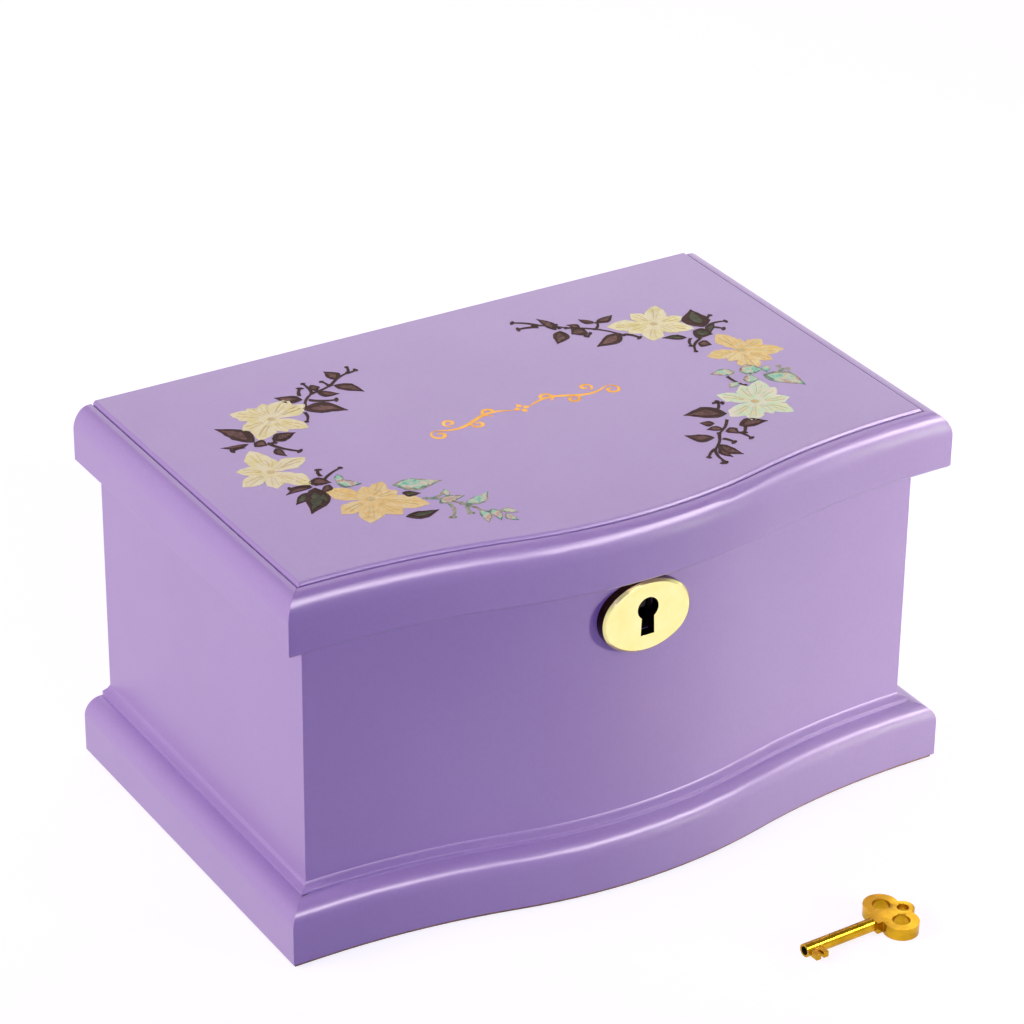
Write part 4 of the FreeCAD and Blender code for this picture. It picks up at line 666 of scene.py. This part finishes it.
def spiral(centre, start_angle, turns, start_radius, end_radius, hand):
    points = []
    for t in shares(SCROLL_STEPS):
        angle = start_angle + hand * 2 * math.pi * turns * t
        radius = start_radius + (end_radius - start_radius) * t
        points.append(Vector((centre[0] + radius * math.cos(angle), centre[1] + radius * math.sin(angle))))
    return points


FLOURISH_MIDDLE = (2.4, 5.9)
STEM_START = 3.0
STEM_LENGTH = 26.0
STEM_WAVE = 2.0
STEM_WIDTH = 1.3
SCROLL_WIDTH = 1.1
SCROLL_TURNS = 1.15
SCROLL_EYE = 0.5
STAR_START = 0.5
STAR_END = 3.0
STAR_WIDTH = 1.7
# Each scroll's place along the stem, its side of the stem, and its size.
SCROLLS = ((9.5, 1, 2.6), (16.0, -1, 2.4), (23.0, 1, 2.2), (29.0, -1, 2.8))


def gold_flourish():
    """Plain scrolls in gold foil at the middle of the lid."""
    inlay = Inlay()
    middle = Vector(FLOURISH_MIDDLE)
    for side in (-1, 1):
        stem = []
        for t in shares(SCROLL_STEPS):
            along, rise = STEM_START + STEM_LENGTH * t, STEM_WAVE * math.sin(2 * math.pi * t)
            stem.append(middle + Vector((side * along, rise)))
        inlay.ribbon(stem, STEM_WIDTH)
        for along, rise, size in SCROLLS:
            centre = middle + Vector((side * along, rise * size))
            scroll = spiral(centre, -rise * math.pi / 2, SCROLL_TURNS, size, SCROLL_EYE, side * rise)
            inlay.ribbon(scroll, SCROLL_WIDTH)
    for quarter in range(4):
        way = Vector((math.cos(math.pi * quarter / 2), math.sin(math.pi * quarter / 2)))
        inlay.blade(middle + way * STAR_START, middle + way * STAR_END, STAR_WIDTH, leaf_form)
    inlay.place("inlay_flourish", FOIL)


CASE_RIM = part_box("front_panel")[1].z / MM
LID_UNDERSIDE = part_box("lid_rail_front")[0].z / MM
SCREW_STEPS = 12
SCREW_SLOT = 0.14
SCREW_FACE = 0.9
SCREW_SINK = 0.05
SCREW_PROUD = 0.12
SCREW_SLOT_DEPTH = 0.15
HINGE_SCREW = 1.5
HINGE_SCREW_STEP = 8.5
HINGE_SCREW_INSET = 3.6
LINK_SCREW = 1.0
LINK_SCREW_MARGIN = 1.8
COMB_SCREW = 1.5
COMB_SCREW_PLACES = ((22.0, 8.0), (33.0, 8.0))
# Turns of the slots in degrees, one for each screw of a row.
HINGE_SLOTS = (40, 75, 110)
LID_SLOT_SHIFT = 20
LINK_SLOTS = (30, 80)
COMB_SLOTS = (25, 85)
UP = (0, 0, 1)
DOWN = (0, 0, -1)


def screw(name, centre, normal, radius, turn, body, material):
    """Slotted head that stands a little proud of its plate, in two halves with the slot's floor between."""
    slot = SCREW_SLOT * radius
    start = math.asin(SCREW_SLOT)
    verts, faces, floor = [], [], []
    for half in (1, -1):
        angles = [start + (math.pi - 2 * start) * t for t in shares(SCREW_STEPS)]
        rim = [(half * radius * math.cos(angle), half * radius * math.sin(angle)) for angle in angles]
        first = len(verts)
        top = first + len(rim)
        foot = top + len(rim)
        verts += [(x, y, -SCREW_SINK) for x, y in rim]
        verts += [(SCREW_FACE * x, half * max(SCREW_FACE * half * y, slot), SCREW_PROUD) for x, y in rim]
        verts += [(SCREW_FACE * radius * end, half * slot, -SCREW_SLOT_DEPTH) for end in (half, -half)]
        for step in range(SCREW_STEPS):
            faces.append((first + step, first + step + 1, top + step + 1, top + step))
        faces.append(tuple(range(top, foot)))
        faces.append((top, foot - 1, foot + 1, foot))
        floor += [foot, foot + 1]
    faces.append(tuple(floor))
    matrix = Vector(normal).to_track_quat("Z", "Y").to_matrix() @ Matrix.Rotation(math.radians(turn), 3, "Z")
    placed = [matrix @ Vector(v) + Vector(centre) for v in verts]
    return piece_from(name, placed, faces, material, body, smooth=False)


def hinge_screws():
    for side in ("left", "right"):
        low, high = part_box(f"hinge_{side}_case_leaf")
        middle = (low.x + high.x) / 2 / MM
        y = low.y / MM + HINGE_SCREW_INSET
        for number, turn in enumerate(HINGE_SLOTS):
            x = middle + HINGE_SCREW_STEP * (number - 1)
            on_case, on_lid = (x, y, CASE_RIM), (x, y, LID_UNDERSIDE)
            lid_turn = turn + LID_SLOT_SHIFT
            screw(f"screw_{side}_case_{number}", on_case, UP, HINGE_SCREW, turn, "case", GILT)
            screw(f"screw_{side}_lid_{number}", on_lid, DOWN, HINGE_SCREW, lid_turn, "lid", GILT)


def lock_screws():
    low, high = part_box("link_plate")
    y = (low.y + high.y) / 2 / MM
    places = (low.x / MM + LINK_SCREW_MARGIN, high.x / MM - LINK_SCREW_MARGIN)
    for number, (x, turn) in enumerate(zip(places, LINK_SLOTS)):
        screw(f"screw_link_{number}", (x, y, LID_UNDERSIDE), DOWN, LINK_SCREW, turn, "lid", GILT)


def movement_screws():
    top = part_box("comb")[1].z / MM
    for number, ((x, y), turn) in enumerate(zip(COMB_SCREW_PLACES, COMB_SLOTS)):
        screw(f"screw_comb_{number}", (x, y, top), UP, COMB_SCREW, turn, "case", STEEL)


def bands(rows, sides):
    """Faces between rings of equally many points."""
    faces = []
    for row in range(rows - 1):
        for column in range(sides):
            a, b = row * sides + column, row * sides + (column + 1) % sides
            faces.append((a, b, b + sides, a + sides))
    return faces


def loft(rings):
    """Skin through rings of equally many points, closed at both ends."""
    sides = len(rings[0])
    verts = [point for ring in rings for point in ring]
    faces = bands(len(rings), sides)
    faces.append(tuple(reversed(range(sides))))
    faces.append(tuple(range(len(verts) - sides, len(verts))))
    return verts, faces


def level_ring(centre, wide, deep, sides=12):
    angles = [2 * math.pi * number / sides for number in range(sides)]
    return [centre + Vector((wide * math.cos(angle), deep * math.sin(angle), 0)) for angle in angles]


KEYHOLE_HALF = 3.4
KEYHOLE_LOW = 78.6
KEYHOLE_HIGH = 90.4
KEYHOLE_FRONT = -62.95
KEY_TIP = (15.7, -126.5, 2.0)
KEY_TURN = math.radians(2.2)
PIPE_RADIUS = 1.3
PIPE_MOUTH = 0.3
PIPE_END = 11.9
PIPE_SIDES = 24


def keyhole_painted_shade():
    """Sheet of painted shade on the inner sides of the keyhole behind its plate."""
    left, right = -KEYHOLE_HALF, KEYHOLE_HALF
    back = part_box("lock_plate")[0].y / MM
    corners = ((left, KEYHOLE_LOW), (right, KEYHOLE_LOW), (right, KEYHOLE_HIGH), (left, KEYHOLE_HIGH))
    verts = [(x, y, z) for y in (KEYHOLE_FRONT, back) for x, z in corners]
    piece_from("keyhole_painted_shade", verts, bands(2, len(corners)), SHADE, "case", smooth=False)


def key_pipe_painted_shade():
    """Sheet of painted shade on the inner side and end of the key's pipe."""
    turn = Matrix.Rotation(KEY_TURN, 3, "Z")
    verts = []
    for depth in (PIPE_END, PIPE_MOUTH):
        for number in range(PIPE_SIDES):
            angle = 2 * math.pi * number / PIPE_SIDES
            point = Vector((depth, PIPE_RADIUS * math.cos(angle), PIPE_RADIUS * math.sin(angle)))
            verts.append(turn @ point + Vector(KEY_TIP))
    faces = bands(2, PIPE_SIDES)
    faces.append(tuple(range(PIPE_SIDES)))
    piece_from("key_pipe_painted_shade", verts, faces, SHADE, "key")


def limb(points, radii, sides=10):
    """Rings square to a path, for an arm or a leg."""
    rings = []
    for number, (point, radius) in enumerate(zip(points, radii)):
        before, after = points[max(0, number - 1)], points[min(len(points) - 1, number + 1)]
        turn = (after - before).to_track_quat("Z", "Y").to_matrix()
        rings.append([point + turn @ v for v in level_ring(Vector((0, 0, 0)), radius, radius, sides)])
    return rings


def joined_lofts(*groups):
    verts, faces = [], []
    for rings in groups:
        more_verts, more_faces = loft(rings)
        faces += [tuple(index + len(verts) for index in face) for face in more_faces]
        verts += more_verts
    return verts, faces


barrel_low, barrel_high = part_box("spring_barrel")
STAGE_Y = (barrel_low.y + barrel_high.y) / 2 / MM
DANCER_BASE = 2.0
BASE_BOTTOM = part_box("dancer_figure")[0].z / MM
DANCER_FOOT = BASE_BOTTOM + DANCER_BASE
DANCER_HEIGHT = 43.0
FACE_SIDES = 8
NOSE_Y = -2.25
EYE_X = 0.85
EYE_DEPTH = 0.1
MOUTH_DEPTH = 0.12
BASE_SIDES = 48


def dancer_point(x, y, share):
    return Vector((x, STAGE_Y + y, DANCER_FOOT + share * DANCER_HEIGHT))


def dancer_path(side, rows):
    """Path of a limb on one side, from rows of place across, place back and share of the height."""
    return [dancer_point(side * x, y, share) for x, y, share in rows]


def dancer_rings(*rows):
    """Level rings, from rows of half width, half depth, place back and share of the height."""
    return [level_ring(dancer_point(0, y, share), wide, deep) for wide, deep, y, share in rows]


def dancer_piece(name, material, levels, *groups):
    return subdivided(piece_from(name, *joined_lofts(*groups), material, "barrel"), levels)


def dancer_head():
    return dancer_rings(
        (0.85, 0.85, 0.1, 0.715), (0.8, 0.8, 0.0, 0.745), (1.35, 1.3, -0.25, 0.756), (1.85, 1.95, -0.2, 0.78),
        (2.05, 2.2, 0.0, 0.81), (1.95, 2.1, 0.1, 0.84), (1.3, 1.4, 0.15, 0.862), (0.3, 0.3, 0.2, 0.868),
    )


def dancer_chest():
    return dancer_rings(
        (2.0, 1.3, 0.0, 0.655), (2.25, 1.35, 0.0, 0.675), (2.0, 1.15, 0.05, 0.692),
        (1.1, 0.95, 0.1, 0.708), (0.85, 0.85, 0.1, 0.73),
    )


def dancer_nose():
    rows = ((0.1, 0.2, 0.812), (0.2, 0.3, 0.798), (0.24, 0.34, 0.788), (0.1, 0.15, 0.783))
    return [level_ring(dancer_point(0, NOSE_Y, share), wide, deep, FACE_SIDES) for wide, deep, share in rows]


def dancer_leg(side):
    rows = (
        (1.25, 0.1, 0.47), (1.2, 0.1, 0.42), (1.05, 0.1, 0.34), (0.95, 0.1, 0.27), (0.9, 0.1, 0.235),
        (0.9, 0.1, 0.2), (0.8, 0.1, 0.14), (0.65, 0.1, 0.08), (0.6, 0.1, 0.05),
    )
    return limb(dancer_path(side, rows), (1.5, 1.42, 1.2, 1.0, 0.95, 1.02, 0.85, 0.56, 0.55))


def dancer_slipper(side):
    rows = (
        (0.62, 0.1, 0.075), (0.6, -0.1, 0.05), (0.55, -0.2, 0.028), (0.52, -0.15, 0.008), (0.5, -0.1, 0.0),
    )
    return limb(dancer_path(side, rows), (0.6, 0.68, 0.6, 0.42, 0.32))


def dancer_arm(side):
    rows = (
        (1.9, 0.0, 0.672), (2.7, -0.1, 0.69), (3.9, -0.3, 0.735), (5.0, -0.5, 0.795), (4.8, -0.7, 0.86),
        (3.6, -0.8, 0.925), (2.0, -0.8, 0.967), (1.2, -0.8, 0.98), (0.7, -0.8, 0.985),
    )
    return limb(dancer_path(side, rows), (0.7, 0.78, 0.68, 0.6, 0.56, 0.48, 0.36, 0.4, 0.15))


def dancer_bodice():
    return dancer_rings(
        (1.9, 1.7, 0.0, 0.43), (2.75, 2.3, 0.05, 0.46), (2.6, 2.05, 0.0, 0.49), (1.95, 1.5, 0.0, 0.53),
        (1.75, 1.35, 0.0, 0.56), (2.05, 1.6, -0.1, 0.6), (2.3, 1.8, -0.2, 0.63), (2.2, 1.5, -0.1, 0.655),
        (1.95, 1.25, 0.0, 0.665),
    )


def dancer_hair():
    return dancer_rings(
        (1.9, 1.5, 0.9, 0.785), (2.18, 1.9, 0.55, 0.808), (2.2, 2.15, 0.3, 0.835), (1.75, 1.8, 0.25, 0.862),
        (0.9, 0.9, 0.4, 0.876), (0.95, 0.95, 0.5, 0.882), (1.2, 1.2, 0.5, 0.895), (1.0, 1.0, 0.5, 0.91),
        (0.3, 0.3, 0.5, 0.916),
    )


def dancer_eye(side):
    rows = ((0.06, -1.95, 0.811), (0.26, -2.0, 0.815), (0.06, -1.95, 0.819))
    x = side * EYE_X
    return [level_ring(dancer_point(x, y, share), wide, EYE_DEPTH, FACE_SIDES) for wide, y, share in rows]


def dancer_mouth():
    rows = ((0.1, -1.94, 0.7715), (0.4, -2.0, 0.775), (0.1, -1.96, 0.7785))
    return [level_ring(dancer_point(0, y, share), wide, MOUTH_DEPTH, FACE_SIDES) for wide, y, share in rows]


def dancer_base():
    """Turned disc, from rows of height over its underside and radius."""
    rows = (
        (0.0, 5.4), (0.1, 5.9), (0.5, 6.0), (1.2, 6.0), (1.7, 5.6), (1.95, 4.6),
        (DANCER_BASE, 2.0), (DANCER_BASE, 0.3),
    )
    return [level_ring(Vector((0, STAGE_Y, BASE_BOTTOM + z)), r, r, BASE_SIDES) for z, r in rows]


def dancer():
    """Smooth painted figure on tiptoe, in the place of the faceted solid."""
    skin = [dancer_head(), dancer_chest(), dancer_nose()]
    for side in (-1, 1):
        skin += [dancer_leg(side), dancer_arm(side)]
    body = dancer_piece("dancer_body", SKIN, 2, *skin)
    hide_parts("dancer_figure")
    dancer_piece("dancer_bodice", BODICE, 2, dancer_bodice())
    dancer_piece("dancer_slippers", SLIPPER, 2, dancer_slipper(-1), dancer_slipper(1))
    dancer_piece("dancer_hair", HAIR, 2, dancer_hair())
    dancer_piece("dancer_eyes", HAIR, 1, dancer_eye(-1), dancer_eye(1))
    dancer_piece("dancer_mouth", LIP, 1, dancer_mouth())
    piece_from("dancer_base", *loft(dancer_base()), BASE_PLASTIC, "barrel")


TUTU_WAIST = 2.85
TUTU_HEM = 11.5
TUTU_HEIGHT = 0.47
TUTU_DROP = 1.5
TUTU_PLEATS = 22
WAIST_PLEAT = 0.12
PLEAT_GROWTH = 0.95
HEM_SWAY = 0.3
TUTU_COLUMNS = 264
TUTU_ROWS = 12


def tutu():
    """Gathered net skirt whose pleats open towards the hem."""
    verts = []
    for t in shares(TUTU_ROWS):
        radius = TUTU_WAIST + (TUTU_HEM - TUTU_WAIST) * t
        level = DANCER_FOOT + TUTU_HEIGHT * DANCER_HEIGHT - TUTU_DROP * t * t
        for column in range(TUTU_COLUMNS):
            angle = 2 * math.pi * column / TUTU_COLUMNS
            wave = math.sin(TUTU_PLEATS * angle + 0.5 * math.sin(3 * angle))
            rise = (WAIST_PLEAT + PLEAT_GROWTH * t) * wave + HEM_SWAY * t * math.sin(5 * angle)
            verts.append((radius * math.cos(angle), STAGE_Y + radius * math.sin(angle), level + rise))
    faces = bands(TUTU_ROWS + 1, TUTU_COLUMNS)
    skirt = piece_from("dancer_skirt", verts, faces, NET, "barrel")
    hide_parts("dancer_tutu")


PAD_COUNT = 4
PAD_GAP = 0.4
PAD_STEPS = 30
PAD_SIDES = 28
PAD_PULL = 0.16
PAD_PULL_REACH = 1.6
PAD_PUCKER = 0.012
PAD_WIDTH_POWER = 0.75
PAD_HEIGHT_POWER = 0.8


def rounded(value, power):
    """Power of a sine or cosine that keeps its sign, for a section between round and square."""
    return math.copysign(abs(value) ** power, value)


def pad_rings(number, low, length, width, height):
    """Rings along one roll, drawn in at its ends and slightly puckered."""
    rings = []
    for t in shares(PAD_STEPS):
        from_end = min(t, 1 - t) * length
        pull = 1 - PAD_PULL * math.exp(-from_end / PAD_PULL_REACH)
        ring = []
        for side in range(PAD_SIDES):
            angle = 2 * math.pi * side / PAD_SIDES
            pucker = 1 + PAD_PUCKER * math.sin(9 * t * math.pi + number) * math.sin(2 * angle + number)
            across = rounded(math.cos(angle), PAD_WIDTH_POWER) * width / 2
            rise = rounded(math.sin(angle), PAD_HEIGHT_POWER) * height / 2
            offset = Vector((0, across, rise)) * pull * pucker
            ring.append(low + Vector((length * t, width / 2, height / 2)) + offset)
        rings.append(ring)
    return rings


def ring_pads():
    """Stuffed velvet rolls that hold rings between them."""
    low, high = (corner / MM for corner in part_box("ring_rolls"))
    length, depth, height = high - low
    pitch = (depth + PAD_GAP) / PAD_COUNT
    for number in range(PAD_COUNT):
        start = low + Vector((0, pitch * number, 0))
        rings = pad_rings(number, start, length, pitch - PAD_GAP, height)
        pad = piece_from(f"ring_pad_{number}", *loft(rings), VELVET, "case")
        subdivided(pad, 1)
        if number == 0:
            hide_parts("ring_rolls")


# Camera fitted to the photo, as a place in metres, and azimuth, elevation and roll in degrees.
CAMERA_PLACE = (-0.53124, -0.86120, 0.63549)
CAMERA_ANGLES = (-31.469, 28.495, 0.630)
CAMERA_LENS = 139.0
SENSOR_WIDTH = 36.0
CLIP_START = 0.05


def set_camera():
    azimuth, elevation, roll = (math.radians(angle) for angle in CAMERA_ANGLES)
    reach = math.cos(elevation)
    back = Vector((math.sin(azimuth) * reach, -math.cos(azimuth) * reach, math.sin(elevation)))
    right = Vector((math.cos(azimuth), math.sin(azimuth), 0))
    up = back.cross(right)
    rolled_right = right * math.cos(roll) + up * math.sin(roll)
    rolled_up = up * math.cos(roll) - right * math.sin(roll)
    turn = Matrix((rolled_right, rolled_up, back)).transposed()
    camera = bpy.data.objects.new("camera", bpy.data.cameras.new("camera"))
    camera.data.lens = CAMERA_LENS
    camera.data.sensor_width = SENSOR_WIDTH
    camera.data.clip_start = CLIP_START
    camera.matrix_world = Matrix.Translation(CAMERA_PLACE) @ turn.to_4x4()
    scene.collection.objects.link(camera)
    scene.camera = camera


def seen_directly(tree):
    """1 for rays from the camera and for those mirrored or passed on by the object."""
    path = tree.nodes.new("ShaderNodeLightPath")
    most = None
    for name in ("Is Camera Ray", "Is Glossy Ray", "Is Transmission Ray"):
        if most is None:
            most = path.outputs[name]
            continue
        node = tree.nodes.new("ShaderNodeMath")
        node.operation = "MAXIMUM"
        tree.links.new(most, node.inputs[0])
        tree.links.new(path.outputs[name], node.inputs[1])
        most = node.outputs[0]
    return most


AMBIENT = (0.22, 0.18, 0.33)
HORIZON = 0.1
OVERHEAD = 0.75
OVERHEAD_LIGHT = 0.3


def set_world():
    """Soft violet fill, and a white surround that grows dimmer overhead where it is seen or mirrored."""
    world = bpy.data.worlds.new("studio")
    scene.world = world
    world.use_nodes = True
    tree = world.node_tree
    place = tree.nodes.new("ShaderNodeTexCoord")
    split = tree.nodes.new("ShaderNodeSeparateXYZ")
    tree.links.new(place.outputs["Generated"], split.inputs[0])
    level = tree.nodes.new("ShaderNodeMapRange")
    level.inputs["From Min"].default_value = HORIZON
    level.inputs["From Max"].default_value = OVERHEAD
    level.inputs["To Min"].default_value = 1.0
    level.inputs["To Max"].default_value = OVERHEAD_LIGHT
    tree.links.new(split.outputs["Z"], level.inputs["Value"])
    mix = tree.nodes.new("ShaderNodeMix")
    mix.data_type = "RGBA"
    mix.inputs[MIX_FIRST].default_value = (*AMBIENT, 1.0)
    tree.links.new(seen_directly(tree), mix.inputs[MIX_SHARE])
    tree.links.new(level.outputs["Result"], mix.inputs[MIX_SECOND])
    tree.links.new(mix.outputs[MIX_RESULT], tree.nodes["Background"].inputs["Color"])


FLOOR_SIZE = 12
FLOOR_DROP = 0.0002
FLOOR_GLOW = 0.82


def set_floor():
    """Dull violet floor for the light that falls on the box, and a pale glow where it is seen or mirrored."""
    dark, pale = (0.29, 0.25, 0.38), (0.32, 0.28, 0.41)
    finish = tinted("pale_floor", dark, pale, 3, Roughness=0.8, Specular_IOR_Level=0.1)
    level = finish.tree.nodes.new("ShaderNodeMapRange")
    level.inputs["To Min"].default_value = 0.0
    level.inputs["To Max"].default_value = FLOOR_GLOW
    finish.link(seen_directly(finish.tree), level.inputs["Value"])
    finish.shader.inputs["Emission Color"].default_value = (1.0, 1.0, 1.0, 1.0)
    finish.link(level.outputs["Result"], finish.shader.inputs["Emission Strength"])
    bpy.ops.mesh.primitive_plane_add(size=FLOOR_SIZE)
    floor = bpy.context.object
    floor.name = "floor"
    floor.location.z = -FLOOR_DROP
    floor.data.materials.append(finish.material)


BOX_MIDDLE = (0, 0, 0.06)
FRONT_RIGHT = (0.265, -0.05, 0.08)
WARM = (0.95, 0.9, 0.78)
VIOLET = (0.36, 0.22, 1.0)
ROSE = (1.0, 0.88, 0.94)
LIME = (0.84, 0.95, 0.58)
SPOT_SIZE = math.radians(29)
SPOT_BLEND = 0.5
SPOT_RADIUS = 0.16


def hung_lamp(light, place, aim, power, colour):
    light.energy = power
    light.color = colour
    lamp = bpy.data.objects.new(light.name, light)
    lamp.location = place
    lamp.rotation_euler = (Vector(aim) - Vector(place)).to_track_quat("-Z", "Y").to_euler()
    scene.collection.objects.link(lamp)
    return lamp


def softbox(name, place, size, power, colour):
    light = bpy.data.lights.new(name, "AREA")
    light.shape = "RECTANGLE"
    light.size, light.size_y = size
    return hung_lamp(light, place, BOX_MIDDLE, power, colour)


def spot(name, place, aim, power, colour):
    light = bpy.data.lights.new(name, "SPOT")
    light.spot_size = SPOT_SIZE
    light.spot_blend = SPOT_BLEND
    light.shadow_soft_size = SPOT_RADIUS
    return hung_lamp(light, place, aim, power, colour)


def set_lamps():
    """Soft boxes around the box, one of them only mirrored, and a spot that isn't mirrored."""
    softbox("left", (-1.5, 0.3, 0.9), (1.0, 0.8), 22, WARM)
    softbox("right", (1.6, 0.35, 0.55), (1.0, 0.8), 5, WARM)
    softbox("back", (0.92, 1.5, 0.95), (1.2, 1.2), 6, WARM)
    softbox("fill", (-0.5, -1.75, 1.0), (0.7, 0.5), 6, VIOLET)
    accent = softbox("accent", (0.72, -1.1, 1.2), (1.5, 0.2), 42, ROSE)
    accent.visible_diffuse = False
    front = spot("front", (0.68, -0.85, 0.26), FRONT_RIGHT, 68, LIME)
    front.visible_glossy = False


dress_nodes()
cream_flowers()
amber_flowers()
white_flower()
brown_leaves()
olive_leaves()
green_leaves()
gold_flourish()
hinge_screws()
lock_screws()
movement_screws()
keyhole_painted_shade()
key_pipe_painted_shade()
ring_pads()
dancer()
tutu()
set_camera()
set_world()
set_floor()
set_lamps()
